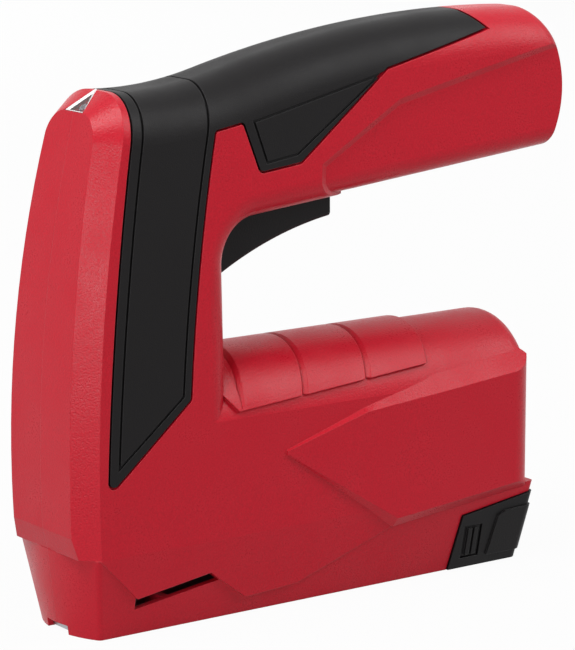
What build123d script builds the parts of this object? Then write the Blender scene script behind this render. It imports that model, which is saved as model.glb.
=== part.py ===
from build123d import *
import os
from functools import cache
from math import acos, atan, cos, pi, radians, sin, sqrt, tan

os.makedirs("parts", exist_ok=True)

# Frame: origin at the staple exit on the work face, X back along the foot, Z up, millimetres throughout

# Slightly barrelled sides of the whole tool, widest at the crown
side_half_width = 24.6
side_crown_z = 64.0
side_crown_radius = 1200.0

# Column and handle, seen from the side
column_front_x = -9.6
column_front_z = 54.0
column_base_x = -7.4
column_base_z = 35.0
column_top_x = 6.4
column_top_z = 174.7
column_back_x = 48.4
dip_x = 23.0
dip_z = 173.7
crest_start_x = 55.0
crest_start_z = 178.0
handle_top_x = 182.5
handle_top_z = 191.0
handle_end_x = 191.8
handle_end_z = 168.5
heel_x = 184.0
heel_z = 142.8
underside_rise = 0.094
crotch_radius = 15.0
top_round = 16.5
under_round = 8.0
end_round = 5.0
front_chamfer = 6.8
column_wall = 3.8

# Shallow hollow in the side of the handle, with a sloped edge, that runs out at the handle's end
hollow_depth = 1.5
hollow_slope = 1.7
hollow_floor_y = 14.0
hollow_front_x = 99.3
hollow_front_z = 139.6
hollow_bend_x = 123.3
hollow_bend_z = 155.3
hollow_end_z = 172.0
hollow_run_out = 5.0

# Lower arm and foot
nose_height = 28.0
arm_top_z = 86.0
arm_barrel_radius = 25.5
arm_front_x = 6.0
arm_rear_x = 174.5
arm_rear_z = 66.0
arm_waist_x = 172.0
arm_waist_z = 34.0
arm_rear_round = 6.0
arm_corner_round = 9.5
arm_wall = 2.6
foot_half_width = 17.8
foot_front_x = -4.2
foot_corner_x = 1.0
foot_top_front_x = -7.6
foot_top_corner_x = -3.2
foot_inset = 0.2
foot_rear_x = 172.4
foot_draft = 8.0
foot_corner_round = 2.0
foot_floor = 2.2
skirt_front_x = -2.5
skirt_dip_x = 55.7
skirt_dip_z = 5.9
skirt_rise_x = 76.3
skirt_rise_z = 7.3
nose_notch_z = 3.0

# Ridged swelling on top of the arm, in segments that lean back
ridge_proud = 1.3
ridge_round = 1.2
ridge_front_x = 50.5
ridge_rear_x = 130.5
ridge_low_z = 69.7
ridge_rise = 0.07
ridge_lean = 0.35
ridge_count = 3
ridge_fairing = 6.5
ridge_fairing_lift = 7.7

# Arrow panel on the side of the arm
panel_tip_x = 69.6
panel_tip_z = 53.3
panel_tip_rise = 1.0
panel_tip_edge = 0.6
panel_tip_half_width = 25.3
panel_bend_x = 102.0
panel_bend_z = 62.9
panel_toe_x = 114.4
panel_toe_z = 21.0
panel_toe_fall = 3.5
panel_shoulder_x = 131.8
panel_shoulder_z = 74.2
panel_half_width = 27.0
panel_rear_top_z = 76.5
panel_rear_edge_z = 69.5
panel_heel_z = 26.9
panel_heel_fall = 3.5
panel_corner_round = 8.0
panel_sunk = 0.4
panel_root_y = 15.0

# Soft grip over the column and the handle
grip_depth = 2.0
grip_seam = 0.8
grip_front_top_x = 38.0
grip_front_x = 4.2
grip_front_z = 99.5
grip_tip_x = 1.0
grip_tip_z = 49.6
grip_heel_x = 31.8
grip_heel_z = 76.0
grip_back_x = 36.4
grip_back_z = 120.0
grip_neck_x = 44.4
grip_neck_z = 161.0
grip_notch_x = 55.8
grip_notch_z = 162.9
grip_pad_x = 61.6
grip_pad_z = 146.4
grip_pad_corner_x = 77.5
grip_pad_corner_z = 148.2
grip_apex_x = 114.2
grip_apex_z = 176.0
grip_rear_x = 158.9
grip_rear_z = 185.9
grip_rear_top_x = 154.0
grip_corner_round = 1.6
grip_rim = 2.2
grip_front_rim = 3.1
grip_neck_lean = 16.0
grip_groove_width = 0.9
grip_groove_depth = 0.9

# Indicator in the bevel at the top of the front
lens_half_width = 5.4
lens_inside = 2.6
lens_outside = 0.8
lens_taper = 45.0
led_radius = 1.5
led_length = 4.5
led_up = 3.5

# Staple window in the side of the foot
window_front_x = 12.8
window_front_z = 8.7
window_front_height = 4.0
window_rear_x = 40.9
window_rear_z = 13.6
window_rear_height = 3.4
window_point = 4.3

# Housing screws, by their place in the side view
screw_places = [(33.0, 152.0), (101.0, 152.0), (178.0, 150.5), (160.0, 60.0), (125.0, 31.0), (39.0, 30.0)]
screw_radius = 1.45
screw_head_radius = 2.8
screw_head_height = 2.0
screw_length = 20.0
screw_seat_y = 9.0
screw_gap = 0.1
boss_radius = 3.6

# Clearances, and how far a cut runs past what it cuts
overcut = 1.0
slide_gap = 0.3
fit_gap = 0.1
running_gap = 0.05

# Staple magazine, from the centre plane outwards and the floor up
rail_half_width = 4.8
rail_bottom_z = 4.0
rail_top_z = 16.2
sheet = 1.1
pusher_half_width = 5.75
pusher_gap = 0.15
pusher_length = 14.0
pusher_front_x = 1.4
channel_half_gap = 6.0
channel_roof_gap = 1.6
channel_front_x = 0.8
channel_rear_x = 141.0
rod_radius = 1.5
rod_z = 10.0
pusher_spring_radius = 2.4
pusher_spring_wire = 0.7
pusher_spring_turns = 9
bulkhead_x = 158.0
bulkhead = 3.0

# Magazine cap and its latch buttons
cap_front_x = 142.5
cap_shoulder_x = 145.8
cap_shoulder_z = 19.5
cap_rear_x = 178.5
cap_rear_z = 24.6
cap_proud = 0.8
cap_gap = 0.3
cap_wall = 2.2
cap_panel_proud = 0.7
cap_panel_front_x = 158.4
cap_panel_lean = 2.9
cap_panel_low_z = 3.2
cap_panel_top_z = 17.4
cap_panel_rise = 1.4
cap_panel_rear_rise = 5.0
button_front_x = 147.0
button_rear_x = 155.0
button_low_z = 3.6
button_high_z = 15.4
button_sunk = 0.6
button_rib = 1.6
button_rib_count = 2
button_rib_margin = 1.0
button_flange = 1.2
button_flange_y = 15.4
button_flange_depth = 1.4
button_travel = 2.0
hook_front_x = 138.0
hook_height = 5.0
latch_seat_y = 8.6
latch_seat = 1.4
latch_spring_radius = 2.2
latch_spring_wire = 0.6
latch_spring_turns = 2

# Striker, driven down the front of the column
blade_thickness = 1.0
blade_half_width = 5.7
blade_low_z = 0.5
nose_plate_x = -1.9
nose_sheet = 1.1
nose_plate_top_z = 44.0
nose_flange_rear_x = 10.0
striker_rear_x = 22.0
striker_half_width = 9.5
striker_low_z = 64.0
striker_high_z = 86.0
blade_top_gap = 2.0
spring_x = 12.0
spring_radius = 6.2
spring_wire = 2.4
spring_seat_depth = 5.0
spring_turns = 6
frame_front_x = -0.5
frame_rear_x = 20.0
frame_low_z = 46.0
frame_bend_z = 108.0
frame_top_front_x = 4.6
frame_top_z = 140.0
frame_sheet = 1.5
bumper_height = 3.8
rivet_radius = 1.3
rivet_head_radius = 2.2
rivet_head = 0.6
rivet_grip = 6.0
rivet_heights = [69.0, 77.0]
striker_bevel = 1.0
bumper_bevel = 1.0

# Drive: motor and two planetary stages on one line along X
drive_z = 57.0
gear_module = 0.6
sun_teeth = 9
planet_teeth = 18
ring_teeth = sun_teeth + 2 * planet_teeth
planet_count = 3
pressure_angle = 25.0
tooth_addendum = 0.8
tooth_dedendum = 1.1
tooth_backlash = 0.16
ring_radius = 16.0
gear_width = 5.6
carrier_radius = 11.4
carrier_width = 2.2
planet_pin_radius = 1.5
stage_gap = 0.3
shaft_radius = 4.0
bush_wall = 1.6
bearing_plate_x = 41.0
bearing_plate = 3.0
plate_half_width = 16.6
plate_corner = 4.0
motor_plate = 2.0
motor_radius = 13.85
motor_length = 33.0
motor_boss_radius = 5.0
motor_boss = 1.8
motor_bell_length = 2.4
motor_shaft_radius = 1.15
motor_shaft_inside = 12.0
motor_bell_step = 1.0
terminal_length = 5.0
terminal_y = 8.0
terminal_half_width = 1.4
terminal_thickness = 0.5

# Lifter gear and the rack that it raises
lift_module = 1.25
lift_teeth = 16
lift_toothed = 6
lift_addendum = 0.85
lift_dedendum = 1.25
lift_backlash = 0.3
lift_phase = 180.0
rack_teeth = 7
lift_x = 24.0
lift_width = 7.0
rack_back = 3.6
rack_foot_low_z = 72.0
rack_foot_high_z = 84.0
rack_foot_inner_y = 5.5

# Battery, board and charging socket in the handle
battery_radius = 9.2
battery_length = 65.0
battery_front_x = 109.0
battery_gap = 0.4
tab_thickness = 0.4
tab_half_width = 3.0
tab_reach = 6.0
board_start = 4.0
board_length = 46.0
board_half_width = 10.0
board_rise = 5.8
board_thickness = 1.6
board_chips = [(-7.0, 6.0, 8.0, 8.0, 2.0), (2.0, 10.0, 5.0, 5.0, 1.2), (-3.0, 30.0, 6.0, 9.0, 3.0)]
socket_z = 173.0
socket_radius = 4.6
socket_front_x = 175.8
socket_rear_x = 190.4
socket_collar = 3.0
socket_bore_radius = 3.2
socket_bore_depth = 9.5
socket_pin_radius = 1.0
socket_pin_sunk = 1.0
socket_boss_radius = 7.0

# Trigger, its pin, switch and spring
trigger_half_width = 6.7
trigger_slot_half_width = 7.2
trigger_slot_front_x = 49.4
trigger_slot_rear_x = 102.5
trigger_slot_low_z = 105.0
trigger_pin_x = 96.0
trigger_pin_z = 141.0
trigger_pin_radius = 2.0
trigger_pin_reach = 16.0
trigger_boss_radius = 5.0
trigger_eye_radius = 4.2
trigger_tip_x = 56.5
trigger_tip_z = 111.2
trigger_tip_edge = 1.0
trigger_mid_x = 77.0
trigger_mid_z = 120.4
trigger_front_x = 53.8
trigger_rear_x = 100.3
trigger_rear_z = 126.2
trigger_top_z = 142.0
trigger_round = 1.6
switch_front_x = 66.0
switch_rear_x = 86.0
switch_low_z = 147.6
switch_high_z = 158.0
switch_half_width = 3.2
plunger_x = 75.0
plunger_radius = 1.3
plunger_inside = 5.0
plunger_travel = 3.0
trigger_spring_x = 61.0
trigger_spring_radius = 2.6
trigger_spring_wire = 0.7
trigger_spring_turns = 3
trigger_spring_seat_z = 152.0

# Supports moulded inside the shells
rib = 2.0
frame_rib_heights = [52.0, 92.0, 128.0]
channel_rib_places = [25.0, 80.0, 125.0]
nose_rib_y = 3.5
ring_rib_x = 52.0
motor_rib_x = 86.0
saddle_reach = 18.0
cradle_places = [8.0, 52.0]

# Far beyond the outside of the tool, for cutting right through
beyond = 60.0

# The side view: sketches on it are in (X, Z) and grow towards the tool's left
side_view = Plane.XZ


def block(low, high, frame=Plane.XY):
    """A box between two corners of a frame."""
    with BuildPart(frame) as form:
        with Locations(tuple((a + b) / 2 for a, b in zip(low, high))):
            Box(*[b - a for a, b in zip(low, high)])
    return form.part


def rod(start, end, radius):
    """A round bar between two points."""
    axis = Vector(*end) - Vector(*start)
    with BuildPart() as form:
        with BuildSketch(Plane(start, z_dir=axis)):
            Circle(radius)
        extrude(amount=axis.length)
    return form.part


def prism(outline, start=0.0, end=beyond):
    """A side-view outline drawn towards the tool's left, from start to end off the centre plane."""
    with BuildPart() as form:
        with BuildSketch(side_view.offset(start)):
            add(outline)
        extrude(amount=end - start)
    return form.part


def outline_of(points, grow=0.0):
    """A straight-sided outline, grown outwards by grow."""
    with BuildSketch() as outline:
        Polygon(*points, align=None)
        if grow:
            offset(amount=grow, kind=Kind.INTERSECTION)
    return outline.sketch


def common(first, *others):
    """What several forms share."""
    with BuildPart() as form:
        add(first)
        for other in others:
            add(other, mode=Mode.INTERSECT)
    return form.part


def less(first, *others):
    """A form with others cut from it."""
    with BuildPart() as form:
        add(first)
        for other in others:
            add(other, mode=Mode.SUBTRACT)
    return form.part


def joined(*forms):
    """Several forms made one."""
    with BuildPart() as form:
        for other in forms:
            add(other)
    return form.part


def mirrored(half):
    """The right-hand image of a left-hand form."""
    with BuildPart() as form:
        mirror(half, about=Plane.XZ)
    return form.part


def both_sides(half):
    """A left-hand form joined with its right-hand image."""
    return joined(half, mirrored(half))


def underside_z(x):
    """Height of the handle's underside."""
    return heel_z - underside_rise * (heel_x - x)


def front_x(z):
    """The column's front, an arc standing on its most forward line."""
    radius = (column_top_z - column_front_z) ** 2 / (2 * (column_top_x - column_front_x))
    return column_front_x + (z - column_front_z) ** 2 / (2 * radius)


def on_line(x, start, end):
    """Height at x on the straight line through two (X, Z) points."""
    return start[1] + (end[1] - start[1]) * (x - start[0]) / (end[0] - start[0])


def side_y(z):
    """Half the tool's width between its barrelled sides."""
    return sqrt(side_crown_radius**2 - (z - side_crown_z) ** 2) - side_crown_radius + side_half_width


def arm_y(z):
    """Half the arm's width, on its side or on its barrel top."""
    above = max(z - arm_top_z + arm_barrel_radius, 0)
    return min(side_y(z), sqrt(arm_barrel_radius**2 - above**2))


@cache
def between_sides(inset):
    """All that lies inside the barrelled left side, drawn in by inset."""
    middle_y = side_crown_radius - side_half_width
    ends = [(end_x, middle_y, side_crown_z) for end_x in (-beyond, 4 * beyond)]
    return rod(*ends, side_crown_radius - inset)


def base_bend(inset):
    """What the bend low down on the column's front takes away, drawn in by inset."""
    low = Vector(column_base_x, nose_height)
    along = (Vector(front_x(column_base_z), column_base_z) - low).normalized()
    inward = Vector(along.Y, -along.X) * inset
    ends = [low + inward - along * beyond, low + inward + along * beyond]
    line = [(end.X, end.Y) for end in ends]
    return prism(outline_of(line + [(x - beyond, z) for x, z in reversed(line)]))


@cache
def column_and_handle(inset, base=nose_height):
    """Left half of the column and handle, drawn in by inset on every outer face."""
    with BuildPart() as form:
        with BuildSketch(side_view) as side:
            with BuildLine():
                ThreePointArc(
                    (front_x(base), base), (column_front_x, column_front_z), (column_top_x, column_top_z)
                )
                dip = ThreePointArc(
                    (column_top_x, column_top_z), (dip_x, dip_z), (crest_start_x, crest_start_z)
                )
                TangentArc(dip @ 1, (handle_top_x, handle_top_z), tangent=dip % 1)
                ThreePointArc(
                    (handle_top_x, handle_top_z), (handle_end_x, handle_end_z), (heel_x, heel_z)
                )
                Polyline(
                    (heel_x, heel_z),
                    (column_back_x, underside_z(column_back_x)),
                    (column_back_x, base),
                    (front_x(base), base),
                )
            make_face()
            crotch = side.vertices().sort_by_distance((column_back_x, underside_z(column_back_x)))[0]
            fillet(crotch, crotch_radius)
            if inset:
                offset(amount=-inset, kind=Kind.INTERSECTION)
        extrude(amount=beyond)
        add(between_sides(inset), mode=Mode.INTERSECT)
        side_edges = form.faces().sort_by(Axis.Y)[0].edges()
        top_edges = side_edges.filter_by(
            lambda edge: edge.center().X < handle_top_x - inset and edge.center().Z > handle_end_z
        )
        fillet(top_edges, top_round - inset)
        side_edges = form.faces().sort_by(Axis.Y)[0].edges()
        middle_x = (column_front_x + column_back_x) / 2
        under_edges = side_edges.filter_by(
            lambda edge: middle_x < edge.center().X < heel_x - 2 * inset
            and nose_height + inset < edge.center().Z < heel_z + inset
        )
        fillet(under_edges, under_round - inset)
        end_face = form.faces().sort_by(Axis.X)[-1]
        fillet(end_face.edges().filter_by(lambda edge: edge.center().Y < -0.1), end_round - inset)
        front_face = form.faces().sort_by(Axis.X)[0]
        front_edges = front_face.edges().filter_by(
            lambda edge: edge.center().Y < -0.1 and edge.center().Z > column_front_z
        )
        chamfer(front_edges, front_chamfer - (2 - sqrt(2)) * inset)
        add(base_bend(inset), mode=Mode.SUBTRACT)
    return form.part


def rear_end():
    """All that lies ahead of the arm's leaning rear end, inside its rounded corner in plan."""
    lean = [
        (arm_front_x, 0),
        (arm_front_x, arm_top_z + beyond),
        (arm_rear_x, arm_top_z + beyond),
        (arm_rear_x, arm_rear_z),
        (arm_waist_x, arm_waist_z),
        (arm_waist_x, 0),
    ]
    with BuildPart() as form:
        with BuildSketch() as plan:
            Polygon(
                (-beyond, 0),
                (-beyond, -panel_half_width),
                (arm_rear_x, -panel_half_width),
                (arm_rear_x, 0),
                align=None,
            )
            corner = plan.vertices().sort_by_distance((arm_rear_x, -panel_half_width))[0]
            fillet(corner, arm_corner_round)
        extrude(amount=arm_top_z + beyond)
        add(prism(outline_of(lean)), mode=Mode.INTERSECT)
    return form.part


def arm_bar(inset, rear_x, rear_round=0.0):
    """Left half of the arm's barrel-topped bar, drawn in by inset, as far back as rear_x."""
    radius = arm_barrel_radius - inset
    floor_z = nose_height - abs(inset)
    centre_z = arm_top_z - arm_barrel_radius
    with BuildPart() as form:
        with BuildSketch(Plane.YZ.offset(arm_front_x + inset)):
            with BuildLine():
                Polyline((0, centre_z + radius), (0, floor_z), (-radius, floor_z), (-radius, centre_z))
                RadiusArc((-radius, centre_z), (0, centre_z + radius), radius)
            make_face()
        extrude(amount=rear_x - arm_front_x - inset)
        if rear_round:
            rear_edges = form.edges().filter_by(GeomType.CIRCLE).sort_by(Axis.X)[-1:]
            fillet(rear_edges, rear_round)
        add(between_sides(inset), mode=Mode.INTERSECT)
    return form.part


def foot_plan(grow, half_width, front_x, corner_x, rear_x):
    """Plan of the foot at one height, with its rounded nose, grown outwards by grow."""
    with BuildSketch() as plan:
        with BuildLine():
            ThreePointArc((corner_x, -half_width), (front_x, 0), (corner_x, half_width))
            Polyline(
                (corner_x, half_width), (rear_x, half_width), (rear_x, -half_width), (corner_x, -half_width)
            )
        make_face()
        fillet(plan.vertices(), foot_corner_round)
        if grow:
            offset(amount=grow, kind=Kind.INTERSECTION)
    return plan.sketch


@cache
def foot(grow):
    """Left half of the drafted foot, grown outwards by grow."""
    rise = nose_height * tan(radians(foot_draft))
    low = foot_plan(grow, foot_half_width, foot_front_x, foot_corner_x, foot_rear_x)
    high = foot_plan(
        grow, side_y(nose_height) - foot_inset, foot_top_front_x, foot_top_corner_x, foot_rear_x + rise
    )
    with BuildPart() as form:
        for z, plan in ((0, low), (nose_height, high)):
            with BuildSketch(Plane.XY.offset(z)):
                add(plan)
        loft(ruled=True)
        split(bisect_by=side_view, keep=Keep.TOP)
    return form.part


def skirt():
    """Left half of the lower wall above its step line, flush with the side above it."""
    top_y = side_y(nose_height)
    low_y = top_y - nose_height * tan(radians(foot_draft))
    toe = (panel_toe_x, panel_toe_z)
    rear_x = foot_rear_x - arm_corner_round
    line = [
        (skirt_front_x, nose_height),
        (window_front_x, window_front_z + window_front_height),
        (window_rear_x, window_rear_z + window_rear_height),
        (window_rear_x + window_point, window_rear_z),
        (skirt_dip_x, skirt_dip_z),
        (skirt_rise_x, skirt_rise_z),
        toe,
        (rear_x, on_line(rear_x, (skirt_rise_x, skirt_rise_z), toe)),
    ]
    with BuildPart() as form:
        with BuildSketch(Plane.YZ.offset(skirt_front_x)):
            Polygon((0, 0), (-low_y, 0), (-top_y, nose_height), (0, nose_height), align=None)
        extrude(amount=rear_x - skirt_front_x)
        add(prism(outline_of(line)), mode=Mode.INTERSECT)
    return form.part


def ridge_low(x):
    """Lower edge of the swelling on the arm."""
    return ridge_low_z + ridge_rise * (x - ridge_front_x)


def ridge(front, rear):
    """Left half of one segment of the swelling, with bevelled ends that lean back."""
    lean = ridge_lean * beyond
    side = [
        (front, ridge_low(front)),
        (rear, ridge_low(rear)),
        (rear + lean, ridge_low(rear) + beyond),
        (front + lean, ridge_low(front) + beyond),
    ]
    with BuildPart() as form:
        add(common(arm_bar(-ridge_proud, arm_rear_x), prism(outline_of(side))))
        ends = form.faces().filter_by(GeomType.PLANE).filter_by(lambda face: abs(face.normal_at().X) > 0.8)
        end_edges = ends.edges().filter_by(
            lambda edge: edge.center().Y < -side_half_width / 3
            and edge.center().Z > ridge_low(edge.center().X) + ridge_proud
        )
        chamfer(end_edges, ridge_round)
    return form.part


def fairing():
    """Left half of the sloped lead-in from the column to the swelling."""
    front = ridge_front_x - ridge_fairing
    outer_y = side_half_width + ridge_proud
    low_z = ridge_low(ridge_front_x)
    side = [
        (ridge_front_x, low_z),
        (ridge_front_x + ridge_round, low_z),
        (ridge_front_x + ridge_round, arm_top_z),
        (front, arm_top_z),
        (front, low_z + ridge_fairing_lift),
    ]
    with BuildPart() as form:
        with BuildSketch():
            Polygon(
                (front, 0),
                (front, -side_half_width),
                (ridge_front_x, -outer_y),
                (ridge_front_x + ridge_round, -outer_y),
                (ridge_front_x + ridge_round, 0),
                align=None,
            )
        extrude(amount=arm_top_z)
        add(common(arm_bar(-ridge_proud, arm_rear_x), prism(outline_of(side))), mode=Mode.INTERSECT)
    return form.part


def panel_section(x):
    """Cross-section of the arrow panel at x: a flat face between two sloped facets."""
    toe = (panel_toe_x, panel_toe_z)
    toe_edge = (panel_toe_x, panel_toe_z + panel_toe_fall)
    bend = (panel_bend_x, panel_bend_z)
    shoulder = (panel_shoulder_x, panel_shoulder_z)
    spread = min((x - panel_tip_x) / (panel_shoulder_x - panel_tip_x), 1)
    face_y = panel_tip_half_width + (panel_half_width - panel_tip_half_width) * spread
    top_z = on_line(x, (panel_tip_x, panel_tip_z + panel_tip_rise), shoulder)
    edge_z = on_line(x, (panel_tip_x, panel_tip_z + panel_tip_edge), bend)
    low_z = on_line(x, (panel_tip_x, panel_tip_z - panel_tip_rise), toe)
    fall_z = on_line(x, (panel_tip_x, panel_tip_z - panel_tip_edge), toe_edge)
    if x > panel_bend_x:
        edge_z = on_line(x, bend, (arm_rear_x, panel_rear_edge_z))
    if x > panel_toe_x:
        low_z = on_line(x, toe, (arm_rear_x, panel_heel_z))
        fall_z = low_z + on_line(x, (panel_toe_x, panel_toe_fall), (arm_rear_x, panel_heel_fall))
    if x > panel_shoulder_x:
        top_z = on_line(x, shoulder, (arm_rear_x, panel_rear_top_z))
    with BuildSketch() as section:
        Polygon(
            (-panel_root_y, top_z),
            (panel_sunk - arm_y(top_z), top_z),
            (-face_y, edge_z),
            (-face_y, fall_z),
            (panel_sunk - arm_y(low_z), low_z),
            (-panel_root_y, low_z),
            align=None,
        )
    return section.sketch


def panel_corner():
    """All that lies under the panel's rounded upper rear corner."""
    corner = (arm_rear_x, panel_rear_top_z)
    with BuildSketch() as side:
        Polygon((arm_front_x, 0), (arm_front_x, corner[1]), corner, (corner[0], 0), align=None)
        fillet(side.vertices().sort_by_distance(corner)[0], panel_corner_round)
    return prism(side.sketch)


def arrow_panel():
    """Raised arrow-shaped panel on the arm's left side."""
    places = (panel_tip_x, panel_bend_x, panel_toe_x, panel_shoulder_x, arm_rear_x)
    sections = [panel_section(x) for x in places]
    with BuildPart() as form:
        for x, section in zip(places, sections):
            with BuildSketch(Plane.YZ.offset(x)):
                add(section)
        loft(ruled=True)
        add(common(rear_end(), panel_corner()), mode=Mode.INTERSECT)
    return form.part


def handle_hollow():
    """The shallow hollow cut into the left side and the underside of the handle."""
    outer_y = side_half_width + overcut
    far_x = handle_end_x + beyond
    bend = (hollow_bend_x, hollow_bend_z)
    outline = [
        (hollow_front_x, hollow_front_z),
        bend,
        (far_x, on_line(far_x, bend, (handle_end_x, hollow_end_z))),
        (far_x, 0),
        (hollow_front_x, 0),
    ]
    kept = Pos(hollow_run_out, 0, 0) * column_and_handle(hollow_depth)
    with BuildPart() as form:
        for y, grow in ((hollow_floor_y, 0), (outer_y, hollow_slope * (outer_y - hollow_floor_y))):
            with BuildSketch(side_view.offset(y)):
                add(outline_of(outline, grow))
        loft(ruled=True)
        add(prism(outline_of(outline), end=hollow_floor_y))
        add(column_and_handle(0), mode=Mode.INTERSECT)
        add(kept, mode=Mode.SUBTRACT)
    return form.part


def grip_outline(grow=0.0):
    """Side view of the soft grip: a strip down the column, a neck and a pad on the handle."""
    top_z = handle_top_z + beyond
    front_top = (grip_front_top_x, top_z)
    with BuildSketch() as outline:
        with BuildLine():
            ThreePointArc(front_top, (grip_front_x, grip_front_z), (grip_tip_x, grip_tip_z))
            Line((grip_tip_x, grip_tip_z), (grip_heel_x, grip_heel_z))
            ThreePointArc(
                (grip_heel_x, grip_heel_z), (grip_back_x, grip_back_z), (grip_neck_x, grip_neck_z)
            )
            Polyline(
                (grip_neck_x, grip_neck_z),
                (grip_notch_x, grip_notch_z),
                (grip_pad_x, grip_pad_z),
                (grip_pad_corner_x, grip_pad_corner_z),
                (grip_apex_x, grip_apex_z),
                (grip_rear_x, grip_rear_z),
                (grip_rear_top_x, handle_top_z),
                (grip_rear_top_x, top_z),
                front_top,
            )
        make_face()
        below_top = outline.vertices().filter_by(lambda vertex: vertex.Y < handle_end_z)
        fillet(below_top, grip_corner_round)
        if grow:
            offset(amount=grow, kind=Kind.INTERSECTION)
    return outline.sketch


def panel_ring(outline):
    """A narrow groove inside a side-view outline, through the whole half."""
    with BuildSketch() as inner:
        add(outline)
        offset(amount=-grip_groove_width, kind=Kind.INTERSECTION)
    return less(prism(outline), prism(inner.sketch))


def grip_skin(grow=0.0):
    """What the grip's outline, grown outwards, takes from the skin of the column and the handle."""
    return less(common(column_and_handle(0), prism(grip_outline(grow))), column_and_handle(grip_depth))


def column_panel():
    """Outline of the grip's panel on the column, a rim's width inside its edges."""
    above_z = handle_top_z + beyond
    front_top = (grip_front_top_x + grip_front_rim, above_z)
    tip = (grip_tip_x + grip_front_rim, grip_tip_z + 3 * grip_rim)
    heel = (grip_heel_x - grip_rim, grip_heel_z + grip_rim / 2)
    neck = (grip_neck_x - grip_rim, grip_neck_z)
    with BuildSketch() as outline:
        with BuildLine():
            ThreePointArc(front_top, (grip_front_x + grip_front_rim, grip_front_z), tip)
            Line(tip, heel)
            ThreePointArc(heel, (grip_back_x - grip_rim, grip_back_z), neck)
            Polyline(neck, (grip_neck_x + grip_neck_lean, above_z), front_top)
        make_face()
    return outline.sketch


def grip_grooves():
    """Rim grooves round the two panels of the left grip."""
    pad_panel = [
        (grip_notch_x + 1.5 * grip_rim, grip_notch_z),
        (grip_pad_x + grip_rim, grip_pad_z + grip_rim),
        (grip_pad_corner_x - grip_rim / 2, grip_pad_corner_z + grip_rim),
        (grip_apex_x - grip_rim / 2, grip_apex_z - grip_rim / 2),
    ]
    bottom = column_and_handle(grip_groove_depth)
    return [less(panel_ring(outline), bottom) for outline in (column_panel(), outline_of(pad_panel))]


bevel_low = Vector(front_x(column_top_z - front_chamfer), 0, column_top_z - front_chamfer)
bevel_high = Vector(column_top_x + front_chamfer, 0, column_top_z)
bevel = Plane(bevel_low, x_dir=(0, -1, 0), z_dir=(bevel_high - bevel_low).cross(Vector(0, 1, 0)))


def lens(grow=0.0):
    """The triangular window in the bevel above the front, with a roof-like face."""
    height = (bevel_high - bevel_low).length
    with BuildPart() as form:
        with BuildSketch(bevel) as outline:
            Polygon((-lens_half_width, 0), (lens_half_width, 0), (0, height), align=None)
            if grow:
                offset(amount=grow, kind=Kind.INTERSECTION)
        extrude(amount=-lens_inside)
        extrude(outline.sketch, amount=lens_outside, taper=lens_taper)
    return form.part


def led_rod(depth):
    """A round bar behind the lens, as far as a depth below the bevel."""
    with BuildPart() as form:
        with BuildSketch(bevel.offset(-depth)):
            with Locations((0, led_up)):
                Circle(led_radius)
        extrude(amount=depth - lens_inside)
    return form.part


def window(grow=0.0):
    """The staple window in the left side of the foot."""
    points = [
        (window_front_x, window_front_z),
        (window_front_x, window_front_z + window_front_height),
        (window_rear_x, window_rear_z + window_rear_height),
        (window_rear_x + window_point, window_rear_z),
    ]
    return prism(outline_of(points, grow))


def cap_outline(grow=0.0):
    """Side view of the magazine cap."""
    points = [
        (cap_front_x, 0),
        (cap_shoulder_x, cap_shoulder_z),
        (cap_rear_x, cap_rear_z),
        (foot_rear_x, 0),
    ]
    return outline_of(points, grow)


# Places that several pieces share
channel_half_width = channel_half_gap + sheet
channel_roof_z = rail_top_z + channel_roof_gap
channel_top_z = channel_roof_z + sheet
nose_half_width = channel_half_width + fit_gap + nose_sheet
frame_half_gap = striker_half_width + slide_gap
frame_half_width = frame_half_gap + frame_sheet
frame_plate_z = striker_low_z - slide_gap - bumper_height
carrier_2_x = bearing_plate_x + bearing_plate + stage_gap
planets_2_x = carrier_2_x + carrier_width + stage_gap
carrier_1_x = planets_2_x + gear_width + stage_gap
planets_1_x = carrier_1_x + carrier_width + stage_gap
motor_plate_x = planets_1_x + gear_width + 2 * stage_gap
motor_x = motor_plate_x + motor_plate
motor_rear_x = motor_x + motor_length
planet_orbit = gear_module * (sun_teeth + planet_teeth) / 2
lift_radius = lift_module * lift_teeth / 2
bush_radius = shaft_radius + running_gap + bush_wall
button_middle_x = (button_front_x + button_rear_x) / 2
button_middle_z = (button_low_z + button_high_z) / 2

# The battery lies along the handle: in its own frame X is the tool's Y, Y is up and Z is along the cell
tilt = atan(underside_rise)
battery_z = underside_z(battery_front_x) + column_wall + battery_gap + battery_radius
battery_plane = Plane((battery_front_x, 0, battery_z), x_dir=(0, 1, 0), z_dir=(cos(tilt), 0, sin(tilt)))
board_up = battery_radius + board_rise


def battery_rod(start, end, radius, up=0.0):
    """A round bar along the battery, between two distances from its front end."""
    ends = [battery_plane.from_local_coords(Vector(0, up, along)) for along in (start, end)]
    return rod(*[(point.X, point.Y, point.Z) for point in ends], radius)


def rib_round(x, axis_z, radius, reach, top_z):
    """A cross rib at x with a round saddle cut in it about a line along X."""
    wall = block((x, -beyond, axis_z - reach), (x + rib, 0, top_z))
    return less(wall, rod((x - rib, 0, axis_z), (x + 2 * rib, 0, axis_z), radius))


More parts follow.
